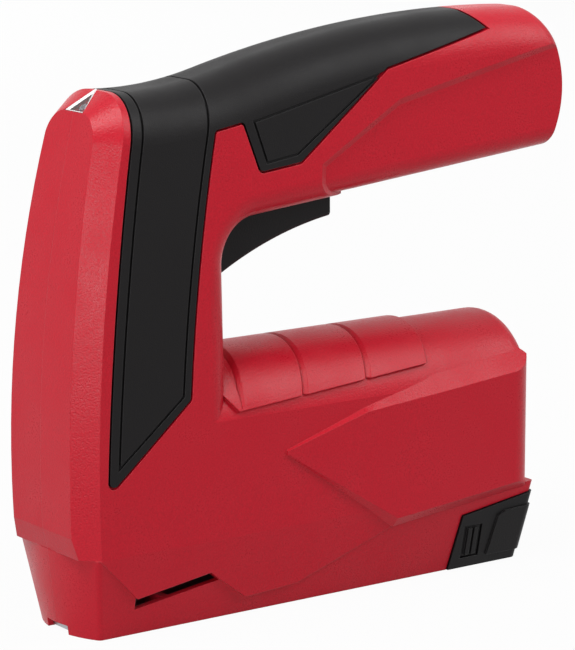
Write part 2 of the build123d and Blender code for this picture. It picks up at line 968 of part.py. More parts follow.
def supports():
    """What is left standing inside the left shell: bosses, ribs, saddles and ledges."""
    forms = [rod((x, 0, z), (x, -beyond, z), boss_radius) for x, z in screw_places]
    for z in frame_rib_heights:
        frame_rib = block(
            (column_front_x, -beyond, z), (frame_rear_x, -frame_half_width - fit_gap, z + rib)
        )
        forms.append(frame_rib)
    for x in channel_rib_places:
        forms.append(block((x, -beyond, 0), (x + rib, -channel_half_width - fit_gap, channel_top_z)))
    nose_rib_front = block(
        (foot_front_x - nose_rib_y, -nose_rib_y - rib, 0),
        (nose_plate_x - fit_gap, -nose_rib_y, nose_plate_top_z - rib),
    )
    forms.append(nose_rib_front)
    for x, radius in ((ring_rib_x, ring_radius), (motor_rib_x, motor_radius)):
        forms.append(rib_round(x, drive_z, radius + fit_gap, saddle_reach, drive_z + saddle_reach))
    plate_groove = block(
        (bearing_plate_x - fit_gap, -plate_half_width - fit_gap, 0),
        (bearing_plate_x + bearing_plate + fit_gap, 0, arm_top_z),
    )
    plate_rail = block(
        (bearing_plate_x - rib, -beyond, drive_z - plate_half_width / 2),
        (bearing_plate_x + bearing_plate + rib, -plate_half_width + rib, drive_z + plate_half_width / 2),
    )
    ring_room = rod((carrier_2_x - stage_gap, 0, drive_z), (motor_plate_x, 0, drive_z), ring_radius + fit_gap)
    forms.append(less(plate_rail, plate_groove, ring_room))
    cell_room = battery_rod(-beyond, battery_length + beyond, battery_radius + fit_gap)
    for along in cradle_places:
        cradle = block((-beyond, -beyond, along), (0, 0, along + rib), battery_plane)
        forms.append(less(cradle, cell_room))
    ledge = block(
        (-beyond, board_up - rib, board_start - rib),
        (-board_half_width + rib, board_up, board_start + board_length + rib),
        battery_plane,
    )
    forms.append(ledge)
    pin_end_y = -trigger_half_width - slide_gap
    forms.append(rod((trigger_pin_x, pin_end_y, trigger_pin_z), (trigger_pin_x, -beyond, trigger_pin_z),
                     trigger_boss_radius))
    forms.append(block(
        (trigger_pin_x - trigger_boss_radius, -beyond, trigger_slot_low_z),
        (trigger_pin_x + trigger_boss_radius, pin_end_y, trigger_pin_z),
    ))
    switch_middle_z = (switch_low_z + switch_high_z) / 2
    forms.append(block(
        (switch_front_x, -beyond, switch_middle_z),
        (switch_rear_x, -switch_half_width, switch_middle_z + rib),
    ))
    forms.append(block(
        (trigger_spring_x - 2 * rib, -beyond, trigger_spring_seat_z),
        (trigger_spring_x + 2 * rib, 0, trigger_spring_seat_z + rib),
    ))
    forms.append(rod((socket_front_x + socket_collar, 0, socket_z), (handle_end_x, 0, socket_z),
                     socket_boss_radius))
    forms.append(prism(cap_outline(cap_gap + cap_wall)))
    return forms


def cavity():
    """The room inside the left shell."""
    foot_room = common(foot(-arm_wall), block((-beyond, -beyond, foot_floor), (4 * beyond, 0, nose_height)))
    arm_room = arm_bar(arm_wall, arm_rear_x - 2 * arm_wall)
    room = joined(column_and_handle(column_wall, nose_height - column_wall), arm_room, foot_room)
    return less(room, *supports())


def openings():
    """What is cut right through the left shell."""
    hook_room = block(
        (hook_front_x - slide_gap, -button_flange_y - 2 * slide_gap, button_middle_z - hook_height),
        (cap_shoulder_x, -button_flange_y + button_flange_depth + button_travel + slide_gap,
         button_middle_z + hook_height),
    )
    return [
        prism(cap_outline(cap_gap)),
        block((0, -channel_half_width - fit_gap, foot_floor), (cap_rear_x, 0, channel_top_z + fit_gap)),
        hook_room,
        block((-beyond, -channel_half_gap - fit_gap, -overcut), (nose_plate_x, 0, nose_notch_z)),
        block((nose_plate_x - fit_gap, -channel_half_gap - fit_gap, -overcut),
              (channel_front_x, 0, nose_height)),
        block((nose_plate_x - fit_gap, -nose_half_width - fit_gap, foot_floor),
              (nose_flange_rear_x + fit_gap, 0, nose_height)),
        window(),
        block(
            (trigger_slot_front_x, -trigger_slot_half_width, trigger_slot_low_z),
            (trigger_slot_rear_x, 0, trigger_pin_z),
        ),
        rod((trigger_pin_x, 0, trigger_pin_z), (trigger_pin_x, -trigger_pin_reach, trigger_pin_z),
            trigger_pin_radius),
        rod((socket_front_x, 0, socket_z), (handle_end_x + overcut, 0, socket_z), socket_radius),
        lens(),
        led_rod(lens_inside + led_length + slide_gap),
    ]


def left_shell():
    """Left shell before its screw holes."""
    pitch = (ridge_rear_x - ridge_front_x) / ridge_count
    starts = [ridge_front_x + number * pitch for number in range(ridge_count)]
    with BuildPart() as form:
        add(column_and_handle(0))
        add(common(arm_bar(0, arm_rear_x, arm_rear_round), rear_end()))
        add(foot(0))
        add(skirt())
        for start in starts:
            add(ridge(start, start + pitch))
        add(fairing())
        add(arrow_panel())
        add(handle_hollow(), mode=Mode.SUBTRACT)
        add(grip_skin(grip_seam), mode=Mode.SUBTRACT)
        add(cavity(), mode=Mode.SUBTRACT)
        for opening in openings():
            add(opening, mode=Mode.SUBTRACT)
    return form.part


half_shell = left_shell()

with BuildPart() as left_housing:
    add(half_shell)
    for x, z in screw_places:
        end_y = screw_seat_y - screw_length - screw_gap
        add(rod((x, 0, z), (x, end_y, z), screw_radius), mode=Mode.SUBTRACT)
left_housing.part.label = "left_housing"
export_step(left_housing.part, "parts/left_housing.step")

with BuildPart() as right_housing:
    add(mirrored(half_shell))
    for x, z in screw_places:
        add(rod((x, 0, z), (x, screw_seat_y, z), screw_radius + screw_gap), mode=Mode.SUBTRACT)
        add(rod((x, screw_seat_y, z), (x, beyond, z), screw_head_radius + screw_gap), mode=Mode.SUBTRACT)
right_housing.part.label = "right_housing"
export_step(right_housing.part, "parts/right_housing.step")

with BuildPart() as left_grip:
    add(less(grip_skin(), *grip_grooves()))
left_grip.part.label = "left_grip"
export_step(left_grip.part, "parts/left_grip.step")

with BuildPart() as right_grip:
    add(mirrored(left_grip.part))
right_grip.part.label = "right_grip"
export_step(right_grip.part, "parts/right_grip.step")

with BuildPart() as indicator_lens:
    add(lens())
indicator_lens.part.label = "indicator_lens"
export_step(indicator_lens.part, "parts/indicator_lens.step")

with BuildPart() as indicator_led:
    add(led_rod(lens_inside + led_length))
indicator_led.part.label = "indicator_led"
export_step(indicator_led.part, "parts/indicator_led.step")

with BuildPart() as housing_screws:
    for x, z in screw_places:
        head_y = screw_seat_y + screw_head_height
        add(rod((x, screw_seat_y - screw_length, z), (x, screw_seat_y, z), screw_radius))
        add(rod((x, screw_seat_y, z), (x, head_y, z), screw_head_radius))
housing_screws.part.label = "housing_screws"
export_step(housing_screws.part, "parts/housing_screws.step")


def coil(start, end, radius, wire, turns):
    """A coil spring of square wire between two seats."""
    axis = (Vector(*end) - Vector(*start)).normalized()
    height = (Vector(*end) - Vector(*start)).length - wire
    centre = Vector(*start) + axis * (wire / 2)
    with BuildPart() as form:
        with BuildLine() as path:
            Helix(height / turns, height, radius, center=centre, direction=axis)
        with BuildSketch(Plane(path.line @ 0, x_dir=(path.line @ 0) - centre, z_dir=path.line % 0)):
            Rectangle(wire, wire)
        sweep(is_frenet=True)
    return form.part


def tooth_half_angle(radius, teeth, module, thickness):
    """Half the angle that an involute tooth fills at a radius, in radians."""
    pitch_radius = module * teeth / 2
    base_radius = pitch_radius * cos(radians(pressure_angle))
    turned = acos(base_radius / max(radius, base_radius))
    pitch_involute = tan(radians(pressure_angle)) - radians(pressure_angle)
    return thickness / (2 * pitch_radius) + pitch_involute - (tan(turned) - turned)


def gear_outline(teeth, module, addendum, dedendum, thickness, phase=0.0, toothed=None):
    """Outline of a spur gear about the origin, with a tooth centred at phase degrees."""
    pitch_radius = module * teeth / 2
    root = pitch_radius - dedendum * module
    tip = pitch_radius + addendum * module
    points = []
    for number in range(teeth):
        centre = radians(phase) + 2 * pi * number / teeth
        radii = (root, pitch_radius, tip)
        if toothed and number >= toothed:
            radii = (root,)
        flank = [(radius, tooth_half_angle(radius, teeth, module, thickness)) for radius in radii]
        rising = [(radius, centre - half) for radius, half in flank]
        falling = [(radius, centre + half) for radius, half in reversed(flank)]
        points += [(radius * cos(angle), radius * sin(angle)) for radius, angle in rising + falling]
    with BuildSketch() as outline:
        Polygon(*points, align=None)
    return outline.sketch


def along_drive(outline, start_x, end_x, y=0.0, z=drive_z):
    """A cross-section drawn along X, placed about a line at y and z."""
    with BuildPart() as form:
        with BuildSketch(Plane((start_x, y, z), x_dir=(0, 1, 0), z_dir=(1, 0, 0))):
            add(outline)
        extrude(amount=end_x - start_x)
    return form.part


def drive_rod(start_x, end_x, radius):
    """A round bar on the line of the drive."""
    return rod((start_x, 0, drive_z), (end_x, 0, drive_z), radius)


fine_thickness = pi * gear_module / 2 - tooth_backlash
sun_outline = gear_outline(sun_teeth, gear_module, tooth_addendum, tooth_dedendum, fine_thickness)
planet_angles = [360 / planet_count * number for number in range(planet_count)]


def planet_place(angle):
    """Where a planet stands, as y and z."""
    return planet_orbit * cos(radians(angle)), drive_z + planet_orbit * sin(radians(angle))


def planet(angle, start_x):
    """One planet gear, meshed with the sun and the ring."""
    y, z = planet_place(angle)
    outline = gear_outline(
        planet_teeth, gear_module, tooth_addendum, tooth_dedendum, fine_thickness, angle + 180 / planet_teeth
    )
    ends = [(x, y, z) for x in (start_x - overcut, start_x + gear_width + overcut)]
    bore = rod(*ends, planet_pin_radius + running_gap)
    return less(along_drive(outline, start_x, start_x + gear_width, y, z), bore)


def carrier(start_x):
    """A carrier disc with pins for its planets, which stand behind it."""
    disc = drive_rod(start_x, start_x + carrier_width, carrier_radius)
    pin_end_x = start_x + carrier_width + stage_gap + gear_width
    places = [planet_place(angle) for angle in planet_angles]
    return joined(disc, *[rod((start_x, y, z), (pin_end_x, y, z), planet_pin_radius) for y, z in places])


with BuildPart() as nose_plate:
    sheet_rear_x = nose_plate_x + nose_sheet
    add(block((nose_plate_x, -nose_half_width, foot_floor + fit_gap),
              (sheet_rear_x, nose_half_width, nose_plate_top_z)))
    add(block((nose_plate_x, -channel_half_gap, blade_low_z), (sheet_rear_x, channel_half_gap, nose_height)))
    flange = block(
        (nose_plate_x, -nose_half_width, foot_floor + fit_gap),
        (nose_flange_rear_x, -nose_half_width + nose_sheet, channel_top_z),
    )
    add(both_sides(flange))
nose_plate.part.label = "nose_plate"
export_step(nose_plate.part, "parts/nose_plate.step")

with BuildPart() as driver_blade:
    add(block((-blade_thickness / 2, -blade_half_width, blade_low_z),
              (blade_thickness / 2, blade_half_width, striker_high_z - blade_top_gap)))
    for z in rivet_heights:
        add(rod((-1, 0, z), (1, 0, z), rivet_radius), mode=Mode.SUBTRACT)
driver_blade.part.label = "driver_blade"
export_step(driver_blade.part, "parts/driver_blade.step")

with BuildPart() as blade_rivets:
    for z in rivet_heights:
        add(rod((-blade_thickness / 2, 0, z), (rivet_grip, 0, z), rivet_radius))
        add(rod((-blade_thickness / 2 - rivet_head, 0, z), (-blade_thickness / 2, 0, z), rivet_head_radius))
blade_rivets.part.label = "blade_rivets"
export_step(blade_rivets.part, "parts/blade_rivets.step")

with BuildPart() as striker:
    add(block((blade_thickness / 2, -striker_half_width, striker_low_z),
              (striker_rear_x, striker_half_width, striker_high_z)))
    chamfer(striker.edges().filter_by(Axis.Z), striker_bevel)
    spring_seat_z = striker_high_z - spring_seat_depth
    seat_radius = spring_radius + spring_wire / 2 + 2 * slide_gap
    seat_end = (spring_x, 0, striker_high_z + overcut)
    add(rod((spring_x, 0, spring_seat_z), seat_end, seat_radius), mode=Mode.SUBTRACT)
    for z in rivet_heights:
        add(rod((0, 0, z), (rivet_grip, 0, z), rivet_radius), mode=Mode.SUBTRACT)
striker.part.label = "striker"
export_step(striker.part, "parts/striker.step")

with BuildPart() as lift_rack:
    pitch = pi * lift_module
    root_y = -lift_radius - lift_dedendum * lift_module
    tip_y = -lift_radius + lift_addendum * lift_module
    back_y = root_y - rack_back
    rack_low_z = drive_z - pitch * rack_teeth
    half_thickness = pitch / 4 - lift_backlash / 2
    flank = tan(radians(pressure_angle))
    root_half = half_thickness + lift_dedendum * lift_module * flank
    tip_half = half_thickness - lift_addendum * lift_module * flank
    add(block((lift_x, back_y, rack_low_z), (lift_x + lift_width, root_y, rack_foot_high_z)))
    add(block((striker_rear_x, back_y, rack_foot_low_z), (lift_x, -rack_foot_inner_y, rack_foot_high_z)))
    with BuildSketch(Plane.YZ.offset(lift_x)):
        for number in range(rack_teeth):
            z = drive_z + pitch / 2 - pitch * number
            Polygon(
                (root_y, z - root_half),
                (tip_y, z - tip_half),
                (tip_y, z + tip_half),
                (root_y, z + root_half),
                align=None,
            )
    extrude(amount=lift_width)
lift_rack.part.label = "lift_rack"
export_step(lift_rack.part, "parts/lift_rack.step")

with BuildPart() as striker_frame:
    side = [
        (frame_front_x, frame_low_z),
        (frame_front_x, frame_bend_z),
        (frame_top_front_x, frame_top_z),
        (frame_rear_x, frame_top_z),
        (frame_rear_x, frame_low_z),
    ]
    add(both_sides(prism(outline_of(side), frame_half_gap, frame_half_width)))
    add(block((frame_top_front_x, -frame_half_gap, frame_top_z - frame_sheet),
              (frame_rear_x, frame_half_gap, frame_top_z)))
    add(block((frame_top_front_x, -frame_half_gap, frame_plate_z - frame_sheet),
              (frame_rear_x, frame_half_gap, frame_plate_z)))
striker_frame.part.label = "striker_frame"
export_step(striker_frame.part, "parts/striker_frame.step")

with BuildPart() as bumper:
    add(block((frame_top_front_x, -striker_half_width + rib, frame_plate_z),
              (frame_rear_x, striker_half_width - rib, frame_plate_z + bumper_height)))
    chamfer(bumper.faces().sort_by(Axis.Z)[-1].edges(), bumper_bevel)
bumper.part.label = "bumper"
export_step(bumper.part, "parts/bumper.step")

with BuildPart() as main_spring:
    seat_z = striker_high_z - spring_seat_depth
    add(coil((spring_x, 0, seat_z), (spring_x, 0, frame_top_z - frame_sheet),
             spring_radius, spring_wire, spring_turns))
main_spring.part.label = "main_spring"
export_step(main_spring.part, "parts/main_spring.step")

with BuildPart() as lifter_gear:
    thickness = pi * lift_module / 2 - lift_backlash
    outline = gear_outline(
        lift_teeth, lift_module, lift_addendum, lift_dedendum, thickness, lift_phase, lift_toothed
    )
    add(along_drive(outline, lift_x, lift_x + lift_width))
    add(drive_rod(lift_x - overcut, lift_x + lift_width + overcut, shaft_radius), mode=Mode.SUBTRACT)
lifter_gear.part.label = "lifter_gear"
export_step(lifter_gear.part, "parts/lifter_gear.step")

with BuildPart() as second_carrier:
    add(carrier(carrier_2_x))
    add(drive_rod(lift_x, carrier_2_x, shaft_radius))
second_carrier.part.label = "second_carrier"
export_step(second_carrier.part, "parts/second_carrier.step")

with BuildPart() as first_carrier:
    add(carrier(carrier_1_x))
    add(along_drive(sun_outline, planets_2_x, carrier_1_x))
first_carrier.part.label = "first_carrier"
export_step(first_carrier.part, "parts/first_carrier.step")

for number, angle in enumerate(planet_angles, 1):
    with BuildPart() as front_planet:
        add(planet(angle, planets_2_x))
    front_planet.part.label = f"front_planet_{number}"
    export_step(front_planet.part, f"parts/front_planet_{number}.step")

for number, angle in enumerate(planet_angles, 1):
    with BuildPart() as rear_planet:
        add(planet(angle, planets_1_x))
    rear_planet.part.label = f"rear_planet_{number}"
    export_step(rear_planet.part, f"parts/rear_planet_{number}.step")

with BuildPart() as ring_gear:
    thickness = pi * gear_module / 2 + tooth_backlash
    spaces = gear_outline(
        ring_teeth, gear_module, tooth_dedendum, tooth_addendum, thickness, 180 / ring_teeth
    )
    ring_x = bearing_plate_x + bearing_plate
    add(drive_rod(ring_x, motor_plate_x, ring_radius))
    add(along_drive(spaces, ring_x, motor_plate_x), mode=Mode.SUBTRACT)
ring_gear.part.label = "ring_gear"
export_step(ring_gear.part, "parts/ring_gear.step")

with BuildPart() as bearing_plate_part:
    rear_x = bearing_plate_x + bearing_plate
    add(block((bearing_plate_x, -plate_half_width, drive_z - plate_half_width),
              (rear_x, plate_half_width, drive_z + plate_half_width)))
    chamfer(bearing_plate_part.edges().filter_by(Axis.X), plate_corner)
    add(drive_rod(bearing_plate_x - overcut, rear_x + overcut, bush_radius), mode=Mode.SUBTRACT)
bearing_plate_part.part.label = "bearing_plate"
export_step(bearing_plate_part.part, "parts/bearing_plate.step")

with BuildPart() as output_bush:
    rear_x = bearing_plate_x + bearing_plate
    add(drive_rod(bearing_plate_x, rear_x, bush_radius))
    bore = drive_rod(bearing_plate_x - overcut, rear_x + overcut, shaft_radius + running_gap)
    add(bore, mode=Mode.SUBTRACT)
output_bush.part.label = "output_bush"
export_step(output_bush.part, "parts/output_bush.step")

with BuildPart() as motor_plate_part:
    add(drive_rod(motor_plate_x, motor_x, ring_radius))
    add(drive_rod(motor_plate_x - overcut, motor_x + overcut, motor_boss_radius), mode=Mode.SUBTRACT)
motor_plate_part.part.label = "motor_plate"
export_step(motor_plate_part.part, "parts/motor_plate.step")

with BuildPart() as motor:
    add(drive_rod(motor_x, motor_rear_x, motor_radius))
    add(drive_rod(motor_x - motor_boss, motor_x, motor_boss_radius))
    shaft_end_x = motor_x + motor_shaft_inside
    bore = drive_rod(motor_x - motor_plate, shaft_end_x + overcut, motor_shaft_radius + running_gap)
    add(bore, mode=Mode.SUBTRACT)
motor.part.label = "motor"
export_step(motor.part, "parts/motor.step")

with BuildPart() as motor_end:
    bell_x = motor_rear_x + motor_bell_length
    add(drive_rod(motor_rear_x, bell_x, motor_radius - motor_bell_step))
    for side in (-1, 1):
        terminal_end_x = bell_x + terminal_length
        middle_y = side * terminal_y
        add(block(
            (bell_x, middle_y - terminal_half_width, drive_z - terminal_thickness / 2),
            (terminal_end_x, middle_y + terminal_half_width, drive_z + terminal_thickness / 2),
        ))
motor_end.part.label = "motor_end"
export_step(motor_end.part, "parts/motor_end.step")

with BuildPart() as motor_pinion:
    add(along_drive(sun_outline, planets_1_x, planets_1_x + gear_width))
    add(drive_rod(planets_1_x, motor_x + motor_shaft_inside, motor_shaft_radius))
motor_pinion.part.label = "motor_pinion"
export_step(motor_pinion.part, "parts/motor_pinion.step")

with BuildPart() as battery_cell:
    add(battery_rod(0, battery_length, battery_radius))
battery_cell.part.label = "battery_cell"
export_step(battery_cell.part, "parts/battery_cell.step")


def tab(end, outward, leg_end):
    """A strip up one end of the battery and along under the board."""
    outer = end + outward * tab_thickness
    strip = block(
        (-tab_half_width, -tab_half_width, min(end, outer)), (tab_half_width, board_up, max(end, outer)),
        battery_plane,
    )
    leg = block(
        (-tab_half_width, board_up - tab_thickness, min(outer, leg_end)),
        (tab_half_width, board_up, max(outer, leg_end)),
        battery_plane,
    )
    return joined(strip, leg)


with BuildPart() as front_tab:
    add(tab(0, -1, board_start + tab_reach))
front_tab.part.label = "front_tab"
export_step(front_tab.part, "parts/front_tab.step")

with BuildPart() as rear_tab:
    add(tab(battery_length, 1, board_start + board_length - tab_reach))
rear_tab.part.label = "rear_tab"
export_step(rear_tab.part, "parts/rear_tab.step")

with BuildPart() as control_board:
    board_top = board_up + board_thickness
    add(block((-board_half_width, board_up, board_start),
              (board_half_width, board_top, board_start + board_length), battery_plane))
    for y, along, wide, long, tall in board_chips:
        add(block((y, board_top, along), (y + wide, board_top + tall, along + long), battery_plane))
control_board.part.label = "control_board"
export_step(control_board.part, "parts/control_board.step")

with BuildPart() as charging_socket:
    bore_x = socket_rear_x - socket_bore_depth
    add(rod((socket_front_x, 0, socket_z), (socket_rear_x, 0, socket_z), socket_radius))
    add(rod((bore_x, 0, socket_z), (handle_end_x, 0, socket_z), socket_bore_radius), mode=Mode.SUBTRACT)
    add(rod((socket_front_x, 0, socket_z), (socket_rear_x - socket_pin_sunk, 0, socket_z), socket_pin_radius))
charging_socket.part.label = "charging_socket"
export_step(charging_socket.part, "parts/charging_socket.step")

with BuildPart() as trigger:
    with BuildSketch(side_view) as side:
        with BuildLine():
            ThreePointArc(
                (trigger_tip_x, trigger_tip_z),
                (trigger_mid_x, trigger_mid_z),
                (trigger_rear_x, trigger_rear_z),
            )
            Polyline(
                (trigger_rear_x, trigger_rear_z),
                (trigger_pin_x + trigger_eye_radius, trigger_pin_z),
                (trigger_pin_x, trigger_top_z),
                (trigger_front_x + 2 * rib, trigger_top_z),
                (trigger_front_x, trigger_top_z - 3 * rib),
                (trigger_front_x, trigger_tip_z + trigger_tip_edge),
                (trigger_tip_x, trigger_tip_z),
            )
        make_face()
        with Locations((trigger_pin_x, trigger_pin_z)):
            Circle(trigger_eye_radius)
            Circle(trigger_pin_radius + running_gap, mode=Mode.SUBTRACT)
    extrude(amount=trigger_half_width, both=True)
    finger_face = trigger.faces().sort_by_distance((trigger_mid_x, 0, trigger_mid_z))[0]
    finger_edges = finger_face.edges().filter_by(lambda edge: abs(edge.center().Y) > trigger_half_width / 2)
    fillet(finger_edges, trigger_round)
trigger.part.label = "trigger"
export_step(trigger.part, "parts/trigger.step")

with BuildPart() as trigger_pin:
    ends = [(trigger_pin_x, y, trigger_pin_z) for y in (-trigger_pin_reach, trigger_pin_reach)]
    add(rod(*ends, trigger_pin_radius))
trigger_pin.part.label = "trigger_pin"
export_step(trigger_pin.part, "parts/trigger_pin.step")

with BuildPart() as trigger_spring:
    add(coil((trigger_spring_x, 0, trigger_top_z), (trigger_spring_x, 0, trigger_spring_seat_z),
             trigger_spring_radius, trigger_spring_wire, trigger_spring_turns))
trigger_spring.part.label = "trigger_spring"
export_step(trigger_spring.part, "parts/trigger_spring.step")

with BuildPart() as trigger_switch:
    add(block((switch_front_x, -switch_half_width, switch_low_z),
              (switch_rear_x, switch_half_width, switch_high_z)))
    bore_top_z = switch_low_z + plunger_inside + plunger_travel
    add(rod((plunger_x, 0, switch_low_z), (plunger_x, 0, bore_top_z), plunger_radius + running_gap),
        mode=Mode.SUBTRACT)
trigger_switch.part.label = "trigger_switch"
export_step(trigger_switch.part, "parts/trigger_switch.step")

with BuildPart() as switch_plunger:
    add(rod((plunger_x, 0, trigger_top_z + slide_gap), (plunger_x, 0, switch_low_z + plunger_inside),
            plunger_radius))
switch_plunger.part.label = "switch_plunger"
export_step(switch_plunger.part, "parts/switch_plunger.step")

with BuildPart() as staple_channel:
    add(block((channel_front_x, -channel_half_width, foot_floor),
              (channel_rear_x, channel_half_width, channel_top_z)))
    inside = block(
        (channel_front_x - overcut, -channel_half_gap, foot_floor - overcut),
        (channel_rear_x + overcut, channel_half_gap, channel_roof_z),
    )
    add(inside, mode=Mode.SUBTRACT)
    add(both_sides(window(slide_gap)), mode=Mode.SUBTRACT)
staple_channel.part.label = "staple_channel"
export_step(staple_channel.part, "parts/staple_channel.step")

with BuildPart() as magazine_rail:
    add(block((channel_front_x + slide_gap, -rail_half_width, rail_bottom_z),
              (bulkhead_x, rail_half_width, rail_top_z)))
    inside = block(
        (0, -rail_half_width + sheet, rail_bottom_z - overcut),
        (bulkhead_x + overcut, rail_half_width - sheet, rail_top_z - sheet),
    )
    add(inside, mode=Mode.SUBTRACT)
magazine_rail.part.label = "magazine_rail"
export_step(magazine_rail.part, "parts/magazine_rail.step")

with BuildPart() as pusher:
    pusher_rear_x = pusher_front_x + pusher_length
    inner_y = rail_half_width + pusher_gap
    web_z = rail_bottom_z - pusher_gap
    add(block((pusher_front_x, -pusher_half_width, foot_floor + slide_gap),
              (pusher_rear_x, pusher_half_width, rail_top_z + pusher_gap + sheet)))
    inside = block(
        (pusher_front_x - overcut, -inner_y, web_z),
        (pusher_rear_x + overcut, inner_y, rail_top_z + pusher_gap),
    )
    add(inside, mode=Mode.SUBTRACT)
    core_y = rail_half_width - sheet - pusher_gap
    add(block((pusher_front_x, -core_y, web_z), (pusher_rear_x, core_y, rod_z + 2 * rod_radius)))
    ends = [(x, 0, rod_z) for x in (pusher_front_x - overcut, pusher_rear_x + overcut)]
    add(rod(*ends, rod_radius + running_gap),
        mode=Mode.SUBTRACT)
pusher.part.label = "pusher"
export_step(pusher.part, "parts/pusher.step")

with BuildPart() as pusher_rod:
    add(rod((channel_front_x + slide_gap, 0, rod_z), (bulkhead_x + bulkhead, 0, rod_z), rod_radius))
pusher_rod.part.label = "pusher_rod"
export_step(pusher_rod.part, "parts/pusher_rod.step")

with BuildPart() as pusher_spring:
    add(coil((pusher_front_x + pusher_length, 0, rod_z), (bulkhead_x, 0, rod_z),
             pusher_spring_radius, pusher_spring_wire, pusher_spring_turns))
pusher_spring.part.label = "pusher_spring"
export_step(pusher_spring.part, "parts/pusher_spring.step")


def button_block(grow, low_y, high_y):
    """A block as wide as the left latch button, grown round its window."""
    return block(
        (button_front_x - grow, -high_y, button_low_z - grow),
        (button_rear_x + grow, -low_y, button_high_z + grow),
    )


def left_button():
    """Left latch button: a ribbed face, a flange behind its window and a hook that reaches forward."""
    plate = common(foot(cap_proud - button_sunk), button_block(-slide_gap, button_flange_y, beyond))
    flange = button_block(button_flange, button_flange_y - button_flange_depth, button_flange_y)
    hook = block(
        (hook_front_x, -button_flange_y, button_middle_z - hook_height / 2),
        (button_front_x, -button_flange_y + button_flange_depth, button_middle_z + hook_height / 2),
    )
    rib_pitch = (button_rear_x - button_front_x) / (button_rib_count + 1)
    ribs = []
    for number in range(button_rib_count):
        x = button_front_x + rib_pitch * (number + 1) - button_rib / 2
        rib_room = block(
            (x, -beyond, button_low_z + button_rib_margin),
            (x + button_rib, -button_flange_y, button_high_z - button_rib_margin),
        )
        ribs.append(common(foot(cap_proud + slide_gap), rib_room))
    return joined(plate, flange, hook, *ribs)


def left_cap():
    """Left half of the magazine cap: a shell with a raised rear panel, a bulkhead and a spring post."""
    inner = common(foot(-cap_wall), prism(cap_outline(-cap_wall)))
    room = common(inner, block((0, -beyond, foot_floor), (4 * beyond, 0, nose_height)))
    front_room = common(
        foot(-cap_wall),
        block((0, -beyond, foot_floor), (button_rear_x, 0, channel_roof_z)),
    )
    wall = block((bulkhead_x, -beyond, 0), (bulkhead_x + bulkhead, 0, nose_height))
    post = block(
        (button_front_x, -latch_seat_y, 0),
        (button_rear_x, -latch_seat_y + latch_seat, button_high_z),
    )
    panel = [
        (cap_panel_front_x, cap_panel_low_z),
        (cap_panel_front_x + cap_panel_lean, cap_panel_top_z),
        (cap_panel_front_x + 2 * cap_panel_lean, cap_panel_top_z + cap_panel_rise),
        (cap_rear_x + beyond, cap_panel_top_z + cap_panel_rear_rise),
        (cap_rear_x + beyond, cap_panel_low_z),
    ]
    proud = common(
        foot(cap_proud + cap_panel_proud), prism(outline_of(panel)), prism(cap_outline(cap_panel_proud))
    )
    body = joined(common(foot(cap_proud), prism(cap_outline())), proud)
    return less(body, less(joined(room, front_room), wall, post), button_block(0, button_flange_y, beyond))


with BuildPart() as magazine_cap:
    add(both_sides(left_cap()))
    ends = [(x, 0, rod_z) for x in (bulkhead_x - overcut, bulkhead_x + bulkhead + overcut)]
    add(rod(*ends, rod_radius), mode=Mode.SUBTRACT)
magazine_cap.part.label = "magazine_cap"
export_step(magazine_cap.part, "parts/magazine_cap.step")

with BuildPart() as left_latch:
    add(left_button())
left_latch.part.label = "left_latch"
export_step(left_latch.part, "parts/left_latch.step")

with BuildPart() as right_latch:
    add(mirrored(left_latch.part))
right_latch.part.label = "right_latch"
export_step(right_latch.part, "parts/right_latch.step")

with BuildPart() as left_latch_spring:
    add(coil((button_middle_x, -latch_seat_y, button_middle_z),
             (button_middle_x, -button_flange_y + button_flange_depth, button_middle_z),
             latch_spring_radius, latch_spring_wire, latch_spring_turns))
left_latch_spring.part.label = "left_latch_spring"
export_step(left_latch_spring.part, "parts/left_latch_spring.step")

with BuildPart() as right_latch_spring:
    add(mirrored(left_latch_spring.part))
right_latch_spring.part.label = "right_latch_spring"
export_step(right_latch_spring.part, "parts/right_latch_spring.step")
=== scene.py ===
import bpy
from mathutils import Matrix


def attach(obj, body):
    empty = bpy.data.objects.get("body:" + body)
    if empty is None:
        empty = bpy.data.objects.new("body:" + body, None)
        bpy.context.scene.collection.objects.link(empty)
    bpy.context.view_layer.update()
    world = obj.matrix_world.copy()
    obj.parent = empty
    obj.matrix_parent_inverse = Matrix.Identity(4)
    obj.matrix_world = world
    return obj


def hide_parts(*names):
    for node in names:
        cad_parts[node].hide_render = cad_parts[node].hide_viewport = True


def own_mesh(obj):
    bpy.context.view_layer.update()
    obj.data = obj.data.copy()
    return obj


bl_info = {
    "name": "Cordless Stapler",
    "version": (1, 0, 0),
    "blender": (4, 5, 0),
    "location": "View3D > Sidebar > Stapler",
    "description": "Finishes the packed cordless stapler and sets it on a pale studio floor",
    "category": "Object",
}

from math import pi, radians
from typing import NamedTuple

import bmesh
import bpy
from bmesh.types import BMEdge, BMVert
from bpy.props import FloatProperty, FloatVectorProperty, PointerProperty
from mathutils import Matrix, Vector

